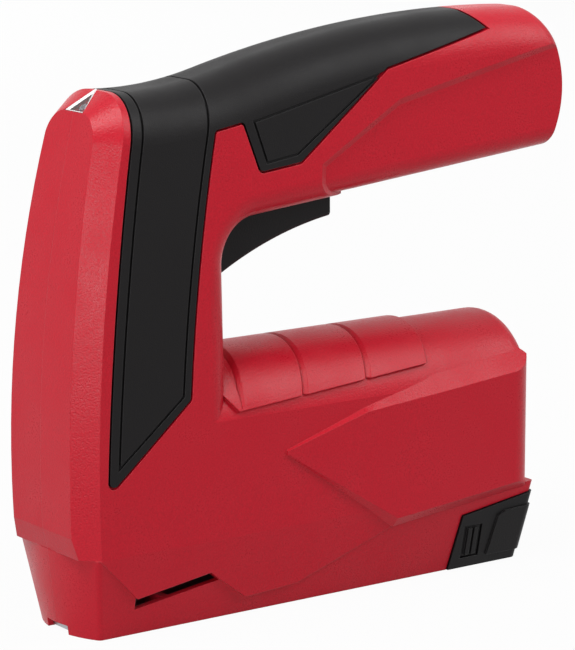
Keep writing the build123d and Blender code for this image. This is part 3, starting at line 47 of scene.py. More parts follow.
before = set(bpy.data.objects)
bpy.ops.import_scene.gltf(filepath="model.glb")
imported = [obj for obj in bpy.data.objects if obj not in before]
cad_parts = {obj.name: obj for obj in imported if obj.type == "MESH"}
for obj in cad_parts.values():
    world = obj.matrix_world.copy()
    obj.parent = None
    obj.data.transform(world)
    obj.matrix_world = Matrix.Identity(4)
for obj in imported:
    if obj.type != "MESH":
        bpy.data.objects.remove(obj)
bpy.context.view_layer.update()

# All lengths and places are in metres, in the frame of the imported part

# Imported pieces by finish
BLACK_PIECES = (
    "trigger", "magazine_cap", "left_latch", "right_latch", "trigger_switch", "switch_plunger",
    "charging_socket", "motor_end", "motor_plate", "bearing_plate",
)
STEEL_PIECES = (
    "driver_blade", "blade_rivets", "striker", "lift_rack", "striker_frame", "nose_plate",
    "staple_channel", "magazine_rail", "pusher_rod", "trigger_pin", "motor_pinion",
    "first_carrier", "second_carrier", "lifter_gear", "ring_gear",
    "front_planet_1", "front_planet_2", "front_planet_3",
    "rear_planet_1", "rear_planet_2", "rear_planet_3", "motor",
)
BRONZE_PIECES = ("output_bush", "front_tab", "rear_tab")

# Colours of the hidden pieces
RESIN_WHITE = (0.7, 0.7, 0.68)
BRONZE_BROWN = (0.6, 0.38, 0.17)
ZINC_GREY = (0.45, 0.45, 0.47)
WIRE_GREY = (0.3, 0.3, 0.32)
SLEEVE_BLUE = (0.03, 0.12, 0.2)
RESIST_GREEN = (0.02, 0.16, 0.06)

# Gloss of the mouldings, how their edges look rounded, and the highlight painted paler on them
HOUSING_SPECULAR = 0.19
RUBBER_SPECULAR = 0.14
PLAIN_SPECULAR = 0.3
SMALL_EDGE = 0.0006
EDGE_GAIN = 3.0
EDGE_PAINTED_HIGHLIGHT = 0.03
EDGE_SAMPLES = 6

# The eroded texture: how soft and deep its grains are, and how fine its slow swell is
GRAIN_SOFTNESS = 0.6
GRAIN_PITS = 0.3
GRAIN_DETAIL = 3.0
GRAIN_RELIEF = 0.5
SWELL_SCALE = 60.0
SWELL_DETAIL = 2.0
NOISE_MIDDLE = 0.5

# The lines in metal: their scale on each axis, and how they change its look
DRAWN_SCALE = (500.0, 9000.0, 9000.0)
TURNED_SCALE = (4000.0, 9000.0, 9000.0)
CAST_SCALE = (2500.0, 2500.0, 2500.0)
PLATED_SCALE = (3000.0, 3000.0, 3000.0)
LINE_DETAIL = 4.0
LINE_SWING = 0.25
LINE_TONE = 0.15
LINE_RELIEF = 0.15
LINE_DEPTH = 0.00005

# The clear lens face, and its place in the lens's list of materials
CLEAR_SLOT = 1
CLEAR_IOR = 1.49
RIPPLE_SCALE = 900.0
RIPPLE_DETAIL = 2.0
RIPPLE_TONE = 0.2
RIPPLE_ROUGHNESS = 0.12

# The lens: its lower edge and its upper corner, as x and z, and its depth
LENS_LOW = (0.00465, 0.1679)
LENS_HIGH = (0.0132, 0.1747)
LENS_DEPTH = 0.0026

# The housing screws: their places, as x and z, the y of the seats, and their make
SCREW_PLACES = (
    (0.033, 0.152), (0.101, 0.152), (0.178, 0.1505),
    (0.160, 0.060), (0.125, 0.031), (0.039, 0.030),
)
SCREW_SEAT = 0.009
SCREW_LENGTH = 0.020
SCREW_SIDES = 28
RECESS_CELLS = 7

# Shares: the recess's depth and the width of its floor, the head's crown and side, the tip
RECESS_DEPTH = 0.55
RECESS_TAPER = 0.8
CROWN_RADIUS = 0.82
CROWN_HEIGHT = 0.85
SIDE_HEIGHT = 0.4
TIP_RADIUS = 0.3

# Sides of the spring wire, and its steps in one turn
WIRE_SIDES = 10
TURN_STEPS = 20

# The stage
LAMP_TARGET = Vector((0.09, 0.0, 0.09))
FLOOR_HALF_WIDTH = 6.0
FLOOR_ROUGHNESS = 0.9
SENSOR_WIDTH = 36.0
CLIP_START = 0.05


class Spring(NamedTuple):
    """A packed spring, the round wire that takes its place, and how far its moving end travels"""

    node: str
    body: str
    joint: str
    moving_end: tuple
    fixed_end: tuple
    coil_radius: float
    wire_radius: float
    turns: int
    travel: float


SPRINGS = (
    Spring(
        "main_spring", "housing", "striker_lift",
        moving_end=(0.012, 0, 0.08105), fixed_end=(0.012, 0, 0.13845),
        coil_radius=0.0062, wire_radius=0.0012, turns=10, travel=0.0182,
    ),
    Spring(
        "trigger_spring", "housing", "trigger_pull",
        moving_end=(0.061, 0, 0.14205), fixed_end=(0.061, 0, 0.15195),
        coil_radius=0.0026, wire_radius=0.00035, turns=5, travel=0.0048,
    ),
    Spring(
        "pusher_spring", "magazine", "pusher_slide",
        moving_end=(0.01555, 0, 0.01), fixed_end=(0.15785, 0, 0.01),
        coil_radius=0.0024, wire_radius=0.00035, turns=40, travel=0.1001,
    ),
    Spring(
        "left_latch_spring", "magazine", "left_latch_press",
        moving_end=(0.151, -0.01395, 0.0095), fixed_end=(0.151, -0.00865, 0.0095),
        coil_radius=0.0022, wire_radius=0.0003, turns=4, travel=0.0021,
    ),
    Spring(
        "right_latch_spring", "magazine", "right_latch_press",
        moving_end=(0.151, 0.01395, 0.0095), fixed_end=(0.151, 0.00865, 0.0095),
        coil_radius=0.0022, wire_radius=0.0003, turns=4, travel=0.0021,
    ),
)


class StaplerFinish(bpy.types.PropertyGroup):
    """Colours, surface grain and small sizes of the stapler"""

    housing_red: FloatVectorProperty(
        name="Housing red", description="Colour of the two moulded housings",
        subtype="COLOR", size=3, default=(0.47, 0.007, 0.02), min=0, max=1,
    )
    housing_grain: FloatProperty(
        name="Housing grain", description="Size of the eroded texture on the housings",
        subtype="DISTANCE", unit="LENGTH", default=0.0006, min=0.0001, max=0.005, precision=5,
    )
    grip_black: FloatVectorProperty(
        name="Grip black", description="Colour of the soft grips",
        subtype="COLOR", size=3, default=(0.006, 0.0052, 0.0056), min=0, max=1,
    )
    grip_grain: FloatProperty(
        name="Grip grain", description="Size of the fine texture on the grips",
        subtype="DISTANCE", unit="LENGTH", default=0.0003, min=0.0001, max=0.005, precision=5,
    )
    trim_black: FloatVectorProperty(
        name="Trim black", description="Colour of the trigger and the magazine cap",
        subtype="COLOR", size=3, default=(0.006, 0.0052, 0.0056), min=0, max=1,
    )
    steel_grey: FloatVectorProperty(
        name="Steel grey", description="Colour of the plated steel",
        subtype="COLOR", size=3, default=(0.42, 0.42, 0.44), min=0, max=1,
    )
    edge_radius: FloatProperty(
        name="Edge radius", description="How far the moulded edges look rounded",
        subtype="DISTANCE", unit="LENGTH", default=0.0004, min=0, max=0.003, precision=5,
    )
    screw_radius: FloatProperty(
        name="Screw radius", description="Radius of a housing screw's shank",
        subtype="DISTANCE", unit="LENGTH", default=0.00145, min=0.0005, max=0.004, precision=5,
    )
    screw_head_radius: FloatProperty(
        name="Screw head radius", description="Radius of a housing screw's pan head",
        subtype="DISTANCE", unit="LENGTH", default=0.0028, min=0.001, max=0.006, precision=5,
    )
    screw_head_height: FloatProperty(
        name="Screw head height", description="Height of a housing screw's pan head",
        subtype="DISTANCE", unit="LENGTH", default=0.002, min=0.0005, max=0.004, precision=5,
    )
    screw_recess: FloatProperty(
        name="Screw recess", description="Half the width of the field round the cross recess",
        subtype="DISTANCE", unit="LENGTH", default=0.0015, min=0.0005, max=0.002, precision=5,
    )
    lens_half_width: FloatProperty(
        name="Lens half width", description="Half the width of the indicator lens",
        subtype="DISTANCE", unit="LENGTH", default=0.0054, min=0.001, max=0.01, precision=5,
    )
    lens_border: FloatProperty(
        name="Lens border", description="Width of the sloping border round the lens face",
        subtype="DISTANCE", unit="LENGTH", default=0.0009, min=0.0001, max=0.002, precision=5,
    )
    lens_dish: FloatProperty(
        name="Lens dish", description="How deep the lens face lies below its rim",
        subtype="DISTANCE", unit="LENGTH", default=0.0005, min=0, max=0.002, precision=5,
    )
    # Painted refraction: the lens border is coloured white for the bright light a clear bevel
    # would refract
    refraction_white: FloatVectorProperty(
        name="Painted refraction white", description="White painted on the lens border for the light it refracts",
        subtype="COLOR", size=3, default=(0.88, 0.87, 0.88), min=0, max=1,
    )
    lens_tint: FloatVectorProperty(
        name="Lens tint", description="Colour of the clear lens face",
        subtype="COLOR", size=3, default=(0.36, 0.32, 0.38), min=0, max=1,
    )


class StaplerStage(bpy.types.PropertyGroup):
    """Camera, floor and lamps"""

    camera_azimuth: FloatProperty(
        name="Camera azimuth", description="Where the camera stands round the tool",
        subtype="ANGLE", unit="ROTATION", default=radians(-36),
    )
    camera_height_angle: FloatProperty(
        name="Camera elevation", description="How far the camera looks down",
        subtype="ANGLE", unit="ROTATION", default=radians(11.5),
    )
    camera_place: FloatVectorProperty(
        name="Camera place", description="Where the camera stands",
        subtype="XYZ", unit="LENGTH", size=3, default=(-0.52732, -0.84651, 0.30253),
    )
    lens_length: FloatProperty(
        name="Focal length", description="Focal length of the camera in millimetres",
        subtype="DISTANCE_CAMERA", unit="CAMERA", default=177.23, min=20, max=400,
    )
    floor_colour: FloatVectorProperty(
        name="Floor colour", description="Colour of the pale floor",
        subtype="COLOR", size=3, default=(0.45, 0.45, 0.45), min=0, max=1,
    )
    floor_white: FloatProperty(
        name="Floor white", description="How much of the floor's look is plain white",
        subtype="FACTOR", default=0.96, min=0, max=1,
    )
    key_place: FloatVectorProperty(
        name="Key lamp place", description="Where the main soft lamp stands",
        subtype="XYZ", unit="LENGTH", size=3, default=(-0.9, -0.1, 2.0),
    )
    key_power: FloatProperty(
        name="Key lamp", description="Power of the main soft lamp",
        subtype="POWER", unit="POWER", default=41.0, min=0,
    )
    key_size: FloatProperty(
        name="Key lamp size", description="Side of the square main lamp",
        subtype="DISTANCE", unit="LENGTH", default=1.1, min=0.01,
    )
    facet_place: FloatVectorProperty(
        name="Facet lamp place", description="Where the lamp that the upper facets mirror stands",
        subtype="XYZ", unit="LENGTH", size=3, default=(1.32, -1.12, 1.51),
    )
    facet_power: FloatProperty(
        name="Facet lamp", description="Power of the lamp that the upper facets mirror",
        subtype="POWER", unit="POWER", default=25.0, min=0,
    )
    facet_size: FloatProperty(
        name="Facet lamp size", description="Side of the square facet lamp",
        subtype="DISTANCE", unit="LENGTH", default=1.25, min=0.01,
    )
    far_place: FloatVectorProperty(
        name="Far lamp place", description="Where the lamp for the far side stands",
        subtype="XYZ", unit="LENGTH", size=3, default=(0.6, 1.9, 0.7),
    )
    far_power: FloatProperty(
        name="Far lamp", description="Power of the lamp for the far side",
        subtype="POWER", unit="POWER", default=18.0, min=0,
    )
    far_size: FloatProperty(
        name="Far lamp size", description="Side of the square far lamp",
        subtype="DISTANCE", unit="LENGTH", default=1.0, min=0.01,
    )
    sheen_place: FloatVectorProperty(
        name="Sheen lamp place", description="Where the lamp that glazes the chamfers stands",
        subtype="XYZ", unit="LENGTH", size=3, default=(-1.67, -1.12, 0.32),
    )
    sheen_power: FloatProperty(
        name="Sheen lamp", description="Power of the lamp that glazes the chamfers",
        subtype="POWER", unit="POWER", default=16.0, min=0,
    )
    sheen_size: FloatProperty(
        name="Sheen lamp size", description="Side of the square lamp that glazes the chamfers",
        subtype="DISTANCE", unit="LENGTH", default=0.65, min=0.01,
    )
    world_level: FloatProperty(
        name="Surroundings", description="Strength of the white surroundings as light",
        default=0.15, min=0, max=2,
    )


def feed(tree, socket, value):
    """Link a socket to another one, or set a plain value on it."""
    if isinstance(value, bpy.types.NodeSocket):
        tree.links.new(value, socket)
    else:
        socket.default_value = value


def math_node(tree, operation, first, second):
    """A Math node fed by sockets or plain numbers."""
    node = tree.nodes.new("ShaderNodeMath")
    node.operation = operation
    feed(tree, node.inputs[0], first)
    feed(tree, node.inputs[1], second)
    return node.outputs[0]


def noise(tree, place, scale, detail):
    """A Noise texture's value at a place."""
    node = tree.nodes.new("ShaderNodeTexNoise")
    feed(tree, node.inputs["Vector"], place)
    feed(tree, node.inputs["Scale"], scale)
    feed(tree, node.inputs["Detail"], detail)
    return node.outputs["Fac"]


def new_group(name, inputs, outputs):
    """An empty shader node group with named sockets."""
    group = bpy.data.node_groups.new(name, "ShaderNodeTree")
    for label, kind in inputs:
        group.interface.new_socket(name=label, in_out="INPUT", socket_type=kind)
    for label, kind in outputs:
        group.interface.new_socket(name=label, in_out="OUTPUT", socket_type=kind)
    entry = group.nodes.new("NodeGroupInput").outputs
    leave = group.nodes.new("NodeGroupOutput").inputs
    return group, entry, leave


def eroded_grain(name):
    """Mould texture of rounded grains on a slow swell, as a height, a roughness and a shade."""
    group, entry, leave = new_group(
        name,
        [
            ("Coordinates", "NodeSocketVector"),
            ("Grain size", "NodeSocketFloat"),
            ("Roughness", "NodeSocketFloat"),
            ("Spread", "NodeSocketFloat"),
        ],
        [
            ("Height", "NodeSocketFloat"),
            ("Roughness", "NodeSocketFloat"),
            ("Shade", "NodeSocketFloat"),
        ],
    )
    scale = math_node(group, "DIVIDE", 1.0, entry["Grain size"])
    grains = group.nodes.new("ShaderNodeTexVoronoi")
    grains.feature = "SMOOTH_F1"
    grains.inputs["Smoothness"].default_value = GRAIN_SOFTNESS
    feed(group, grains.inputs["Vector"], entry["Coordinates"])
    feed(group, grains.inputs["Scale"], scale)
    fine = noise(group, entry["Coordinates"], scale, GRAIN_DETAIL)
    slow = noise(group, entry["Coordinates"], SWELL_SCALE, SWELL_DETAIL)
    pits = math_node(group, "MULTIPLY", grains.outputs["Distance"], GRAIN_PITS)
    feed(group, leave["Height"], math_node(group, "ADD", pits, fine))
    fine_swing = math_node(group, "SUBTRACT", fine, NOISE_MIDDLE)
    slow_swing = math_node(group, "SUBTRACT", slow, NOISE_MIDDLE)
    swing = math_node(group, "ADD", fine_swing, slow_swing)
    spread = math_node(group, "MULTIPLY", swing, entry["Spread"])
    feed(group, leave["Roughness"], math_node(group, "ADD", entry["Roughness"], spread))
    feed(group, leave["Shade"], fine)
    return group


def drawn_lines(name):
    """Fine lines left by rolling or drawing metal, as a height and a roughness."""
    group, entry, leave = new_group(
        name,
        [
            ("Coordinates", "NodeSocketVector"),
            ("Scale", "NodeSocketVector"),
            ("Roughness", "NodeSocketFloat"),
        ],
        [("Height", "NodeSocketFloat"), ("Roughness", "NodeSocketFloat")],
    )
    stretch = group.nodes.new("ShaderNodeVectorMath")
    stretch.operation = "MULTIPLY"
    feed(group, stretch.inputs[0], entry["Coordinates"])
    feed(group, stretch.inputs[1], entry["Scale"])
    lines = noise(group, stretch.outputs["Vector"], scale=1.0, detail=LINE_DETAIL)
    feed(group, leave["Height"], lines)
    swing = math_node(group, "SUBTRACT", lines, NOISE_MIDDLE)
    swing = math_node(group, "MULTIPLY", swing, LINE_SWING)
    feed(group, leave["Roughness"], math_node(group, "ADD", entry["Roughness"], swing))
    return group


def soft_edge(name):
    """Rounded look of moulded edges, as a normal and a mask of where the edges are."""
    group, entry, leave = new_group(
        name,
        [("Radius", "NodeSocketFloat"), ("Gain", "NodeSocketFloat")],
        [("Normal", "NodeSocketVector"), ("Edge", "NodeSocketFloat")],
    )
    rounding = group.nodes.new("ShaderNodeBevel")
    rounding.samples = EDGE_SAMPLES
    feed(group, rounding.inputs["Radius"], entry["Radius"])
    feed(group, leave["Normal"], rounding.outputs["Normal"])
    surface = group.nodes.new("ShaderNodeNewGeometry")
    likeness = group.nodes.new("ShaderNodeVectorMath")
    likeness.operation = "DOT_PRODUCT"
    feed(group, likeness.inputs[0], rounding.outputs["Normal"])
    feed(group, likeness.inputs[1], surface.outputs["Normal"])
    turned = math_node(group, "SUBTRACT", 1.0, likeness.outputs["Value"])
    gained = math_node(group, "MULTIPLY", turned, entry["Gain"])
    feed(group, leave["Edge"], math_node(group, "MINIMUM", gained, 1.0))
    return group


def place_group(tree, name, maker, values):
    """A node group that is built once, placed in a material with its own values."""
    node = tree.nodes.new("ShaderNodeGroup")
    node.node_tree = bpy.data.node_groups.get(name) or maker(name)
    for label, value in values.items():
        feed(tree, node.inputs[label], value)
    return node


def empty_material(name):
    """A material with a Principled shader."""
    material = bpy.data.materials.new(name)
    material.use_nodes = True
    tree = material.node_tree
    return material, tree, tree.nodes["Principled BSDF"]


def object_place(tree):
    """The Object coordinates of the piece."""
    return tree.nodes.new("ShaderNodeTexCoord").outputs["Object"]


def relief(tree, shader, height, strength, distance):
    """A Bump node between a height and the shader's normal."""
    bump = tree.nodes.new("ShaderNodeBump")
    bump.inputs["Strength"].default_value = strength
    bump.inputs["Distance"].default_value = distance
    feed(tree, bump.inputs["Height"], height)
    feed(tree, shader.inputs["Normal"], bump.outputs["Normal"])
    return bump


def blend_colours(tree, factor, first, second):
    """A Mix node between two colours, each a socket or four plain numbers."""
    mix = tree.nodes.new("ShaderNodeMix")
    mix.data_type = "RGBA"
    feed(tree, mix.inputs["Factor"], factor)
    feed(tree, mix.inputs["A"], first)
    feed(tree, mix.inputs["B"], second)
    return mix.outputs["Result"]


def toned(colour, factor):
    """A colour made lighter or darker, with its alpha."""
    return (*[min(max(channel * factor, 0), 1) for channel in colour], 1)


def two_toned(tree, colour, tone, factor):
    """A colour that swings between a darker and a lighter tone."""
    return blend_colours(tree, factor, toned(colour, 1 - tone), toned(colour, 1 + tone))


def moulded(
    name, colour, grain, roughness, spread, depth, shade,
    edge_radius=SMALL_EDGE, specular=PLAIN_SPECULAR,
):
    """Moulded plastic or rubber with an eroded texture, and rounded edges with a painted
    highlight.

    Grain and depth are the size and the relief of the texture. Spread and shade are how far
    the roughness and the colour swing.
    """
    material, tree, shader = empty_material(name)
    texture = place_group(tree, "Eroded grain", eroded_grain, {
        "Coordinates": object_place(tree),
        "Grain size": grain,
        "Roughness": roughness,
        "Spread": spread,
    })
    edge = place_group(tree, "Soft edge", soft_edge, {"Radius": edge_radius, "Gain": EDGE_GAIN})
    surface = two_toned(tree, colour, shade, texture.outputs["Shade"])
    # Painted highlight: the edges are blended towards a paler colour, as if their rounding caught
    # the light
    highlight_colour = (*[channel + EDGE_PAINTED_HIGHLIGHT * (1 - channel) for channel in colour], 1)
    with_painted_highlight = blend_colours(tree, edge.outputs["Edge"], surface, highlight_colour)
    feed(tree, shader.inputs["Base Color"], with_painted_highlight)
    feed(tree, shader.inputs["Roughness"], texture.outputs["Roughness"])
    shader.inputs["Specular IOR Level"].default_value = specular
    bump = relief(tree, shader, texture.outputs["Height"], GRAIN_RELIEF, depth)
    feed(tree, bump.inputs["Normal"], edge.outputs["Normal"])
    return material


def metal(name, colour, roughness, scale):
    """Plated, drawn or cast metal with fine lines."""
    material, tree, shader = empty_material(name)
    shader.inputs["Metallic"].default_value = 1.0
    lines = place_group(tree, "Drawn lines", drawn_lines, {
        "Coordinates": object_place(tree),
        "Scale": scale,
        "Roughness": roughness,
    })
    surface = two_toned(tree, colour, LINE_TONE, lines.outputs["Height"])
    feed(tree, shader.inputs["Base Color"], surface)
    feed(tree, shader.inputs["Roughness"], lines.outputs["Roughness"])
    relief(tree, shader, lines.outputs["Height"], LINE_RELIEF, LINE_DEPTH)
    return material


def clear_plastic(name, tint):
    """Polished clear plastic with a faint ripple."""
    material, tree, shader = empty_material(name)
    shader.inputs["Transmission Weight"].default_value = 1.0
    shader.inputs["IOR"].default_value = CLEAR_IOR
    ripple = noise(tree, object_place(tree), RIPPLE_SCALE, RIPPLE_DETAIL)
    surface = two_toned(tree, tint, RIPPLE_TONE, ripple)
    feed(tree, shader.inputs["Base Color"], surface)
    roughness = math_node(tree, "MULTIPLY", ripple, RIPPLE_ROUGHNESS)
    feed(tree, shader.inputs["Roughness"], roughness)
    return material


def dress(material, *nodes):
    """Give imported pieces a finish."""
    for node in nodes:
        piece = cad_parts[node]
        piece.data.materials.clear()
        piece.data.materials.append(material)


def add_object(name, data):
    """A new object in the scene."""
    thing = bpy.data.objects.new(name, data)
    bpy.context.collection.objects.link(thing)
    return thing


def add_piece(name, form, *materials):
    """A new object at the origin from a finished form, which is freed."""
    mesh = bpy.data.meshes.new(name)
    form.to_mesh(mesh)
    form.free()
    for material in materials:
        mesh.materials.append(material)
    return add_object(name, mesh)


def open_edges(form):
    """The edges that have a face on one side only."""
    return [edge for edge in form.edges if edge.is_boundary]


def only(kind, items):
    """The items of one kind in an operator's mixed list."""
    return [item for item in items if isinstance(item, kind)]


class STAPLER_OT_housings(bpy.types.Operator):
    """Finish the two red housings"""

    bl_idname = "stapler.housings"
    bl_label = "Housings"

    def execute(self, context):
        finish = context.scene.stapler_finish
        red = moulded(
            "Housing red", finish.housing_red, grain=finish.housing_grain,
            roughness=0.34, spread=0.3, depth=0.00018, shade=0.25,
            edge_radius=finish.edge_radius, specular=HOUSING_SPECULAR,
        )
        dress(red, "left_housing", "right_housing")
        return {"FINISHED"}


class STAPLER_OT_grips(bpy.types.Operator):
    """Finish the soft grips and the bumper"""

    bl_idname = "stapler.grips"
    bl_label = "Grips"

    def execute(self, context):
        finish = context.scene.stapler_finish
        rubber = moulded(
            "Grip rubber", finish.grip_black, grain=finish.grip_grain,
            roughness=0.45, spread=0.16, depth=0.00012, shade=0.3,
            edge_radius=finish.edge_radius, specular=RUBBER_SPECULAR,
        )
        dress(rubber, "left_grip", "right_grip", "bumper")
        return {"FINISHED"}


class STAPLER_OT_trim(bpy.types.Operator):
    """Finish the trigger, the magazine cap and the other black mouldings"""

    bl_idname = "stapler.trim"
    bl_label = "Black trim"

    def execute(self, context):
        finish = context.scene.stapler_finish
        black = moulded(
            "Trim black", finish.trim_black, grain=finish.housing_grain,
            roughness=0.42, spread=0.14, depth=0.00012, shade=0.2,
            edge_radius=finish.edge_radius, specular=RUBBER_SPECULAR,
        )
        dress(black, *BLACK_PIECES)
        return {"FINISHED"}


def dished_lens(form, finish):
    """A triangular lens with a sloping border, painted pale for the light it refracts, round a
    sunken clear face.
    """
    (low_x, low_z), (high_x, high_z) = LENS_LOW, LENS_HIGH
    half = finish.lens_half_width
    corners = ((low_x, half, low_z), (low_x, -half, low_z), (high_x, 0, high_z))
    face = form.faces.new([form.verts.new(corner) for corner in corners])
    face.normal_update()
    if face.normal.z < 0:
        face.normal_flip()
    inwards = -face.normal.copy()
    bmesh.ops.inset_region(
        form, faces=[face], thickness=finish.lens_border, depth=-finish.lens_dish,
        use_boundary=True, use_even_offset=True,
    )
    face.material_index = CLEAR_SLOT
    skirt = bmesh.ops.extrude_edge_only(form, edges=open_edges(form))["geom"]
    bmesh.ops.translate(form, verts=only(BMVert, skirt), vec=inwards * LENS_DEPTH)
    bmesh.ops.contextual_create(form, geom=only(BMEdge, skirt))
    bmesh.ops.recalc_face_normals(form, faces=form.faces)


class STAPLER_OT_indicator(bpy.types.Operator):
    """Make the dished indicator lens and finish the lamp behind it"""

    bl_idname = "stapler.indicator"
    bl_label = "Indicator"

    def execute(self, context):
        finish = context.scene.stapler_finish
        # The border's pale colour is a painted refraction, not a frosted finish
        border = moulded(
            "Lens border painted white", finish.refraction_white, grain=0.0003,
            roughness=0.25, spread=0.1, depth=0.00002, shade=0.05,
        )
        clear = clear_plastic("Clear lens", finish.lens_tint)
        form = bmesh.new()
        dished_lens(form, finish)
        piece = add_piece("dished_lens", form, border, clear)
        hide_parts("indicator_lens")
        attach(piece, "housing")
        resin = moulded(
            "Lamp resin", RESIN_WHITE, grain=0.0004,
            roughness=0.2, spread=0.05, depth=0.00002, shade=0.03,
        )
        dress(resin, "indicator_led")
        return {"FINISHED"}


class STAPLER_OT_steelwork(bpy.types.Operator):
    """Finish the nose, the magazine, the striker and the drive"""

    bl_idname = "stapler.steelwork"
    bl_label = "Steelwork"

    def execute(self, context):
        finish = context.scene.stapler_finish
        steel = metal("Plated steel", finish.steel_grey, roughness=0.36, scale=DRAWN_SCALE)
        dress(steel, *STEEL_PIECES)
        bronze = metal("Bronze", BRONZE_BROWN, roughness=0.4, scale=TURNED_SCALE)
        dress(bronze, *BRONZE_PIECES)
        zinc = metal("Cast zinc", ZINC_GREY, roughness=0.5, scale=CAST_SCALE)
        dress(zinc, "pusher")
        return {"FINISHED"}


def coil_spring(form, moving_end, fixed_end, coil_radius, wire_radius, turns):
    """A coil of round wire between two seats."""
    span = Vector(fixed_end) - Vector(moving_end)
    steps = turns * TURN_STEPS
    start = Matrix.Translation((coil_radius, 0, wire_radius)) @ Matrix.Rotation(pi / 2, 4, "X")
    bmesh.ops.create_circle(
        form, cap_ends=True, segments=WIRE_SIDES, radius=wire_radius, matrix=start,
    )
    bmesh.ops.spin(
        form, geom=form.verts[:] + form.edges[:] + form.faces[:], cent=(0, 0, 0), axis=(0, 0, 1),
        dvec=(0, 0, (span.length - 2 * wire_radius) / steps), angle=2 * pi * turns, steps=steps,
        use_merge=False,
    )
    bmesh.ops.holes_fill(form, edges=open_edges(form), sides=WIRE_SIDES)
    along = Vector((0, 0, 1)).rotation_difference(span).to_matrix().to_4x4()
    bmesh.ops.transform(form, matrix=Matrix.Translation(moving_end) @ along, verts=form.verts)
    bmesh.ops.recalc_face_normals(form, faces=form.faces)


class STAPLER_OT_springs(bpy.types.Operator):
    """Replace the springs with coils of round wire"""

    bl_idname = "stapler.springs"
    bl_label = "Springs"

    def execute(self, context):
        wire = metal("Spring wire", WIRE_GREY, roughness=0.3, scale=PLATED_SCALE)
        for node, body, joint, moving_end, fixed_end, *wire_sizes, travel in SPRINGS:
            form = bmesh.new()
            coil_spring(form, moving_end, fixed_end, *wire_sizes)
            coil = add_piece(f"{node}_coil", form, wire)
            coil.data.shade_smooth()
            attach(coil, body)
            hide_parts(node)
            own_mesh(coil)
        return {"FINISHED"}


class STAPLER_OT_electrics(bpy.types.Operator):
    """Finish the cell and the control board"""

    bl_idname = "stapler.electrics"
    bl_label = "Electrics"

    def execute(self, context):
        sleeve = moulded(
            "Cell sleeve", SLEEVE_BLUE, grain=0.0008,
            roughness=0.3, spread=0.05, depth=0.00002, shade=0.08,
        )
        dress(sleeve, "battery_cell")
        resist = moulded(
            "Board resist", RESIST_GREEN, grain=0.0006,
            roughness=0.35, spread=0.05, depth=0.00002, shade=0.1,
        )
        dress(resist, "control_board")
        return {"FINISHED"}


def cross_recess(form, finish):
    """The top of a screw's head with a sunken cross, and its outer edges."""
    bmesh.ops.create_grid(
        form, x_segments=RECESS_CELLS, y_segments=RECESS_CELLS, size=finish.screw_recess,
        matrix=Matrix.Translation((0, 0, finish.screw_head_height)),
    )
    rim = open_edges(form)
    cell = 2 * finish.screw_recess / RECESS_CELLS
    cross = []
    for face in form.faces:
        nearer, farther = sorted(abs(side) for side in face.calc_center_median()[:2])
        if nearer < cell / 2 and farther < finish.screw_recess - cell:
            cross.append(face)
    floor = only(BMVert, bmesh.ops.extrude_face_region(form, geom=cross)["geom"])
    bmesh.ops.translate(form, verts=floor, vec=(0, 0, -RECESS_DEPTH * finish.screw_head_height))
    bmesh.ops.scale(form, verts=floor, vec=(RECESS_TAPER, RECESS_TAPER, 1))
    bmesh.ops.delete(form, geom=cross, context="FACES")
    return rim


def pan_screw(form, finish):
    """One pan-head screw standing on the origin, with a cross recess in its top."""
    head, shank, top = finish.screw_head_radius, finish.screw_radius, finish.screw_head_height
    rim = cross_recess(form, finish)
    for radius, height in (
        (CROWN_RADIUS * head, CROWN_HEIGHT * top),
        (head, SIDE_HEIGHT * top),
        (head, 0.0),
        (shank, 0.0),
        (shank, shank - SCREW_LENGTH),
        (TIP_RADIUS * shank, -SCREW_LENGTH),
    ):
        bmesh.ops.create_circle(
            form, cap_ends=False, segments=SCREW_SIDES, radius=radius,
            matrix=Matrix.Translation((0, 0, height)),
        )
        # Only the new circle has no faces yet
        ring = [edge for edge in form.edges if edge.is_wire]
        bmesh.ops.bridge_loops(form, edges=rim + ring)
        rim = ring
    bmesh.ops.contextual_create(form, geom=rim)
    bmesh.ops.recalc_face_normals(form, faces=form.faces)


class STAPLER_OT_screws(bpy.types.Operator):
    """Replace the housing screws with pan heads that have a cross recess"""

    bl_idname = "stapler.screws"
    bl_label = "Housing screws"

    def execute(self, context):
        finish = context.scene.stapler_finish
        form = bmesh.new()
        pan_screw(form, finish)
        pattern = form.verts[:] + form.edges[:] + form.faces[:]
        sideways = Matrix.Rotation(-pi / 2, 4, "X")
        for x, z in SCREW_PLACES:
            fresh = bmesh.ops.duplicate(form, geom=pattern)["geom"]
            place = Matrix.Translation((x, SCREW_SEAT, z)) @ sideways
            bmesh.ops.transform(form, matrix=place, verts=only(BMVert, fresh))
        bmesh.ops.delete(form, geom=pattern, context="VERTS")
        steel = metal("Screw steel", finish.steel_grey, roughness=0.3, scale=PLATED_SCALE)
        piece = add_piece("housing_screw_heads", form, steel)
        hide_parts("housing_screws")
        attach(piece, "housing")
        return {"FINISHED"}


def seen_rays(tree):
    """One for what the camera, gloss and glass see, and nought for the light on the object."""
    path = tree.nodes.new("ShaderNodeLightPath").outputs
    seen = math_node(tree, "MAXIMUM", path["Is Camera Ray"], path["Is Glossy Ray"])
    return math_node(tree, "MAXIMUM", seen, path["Is Transmission Ray"])


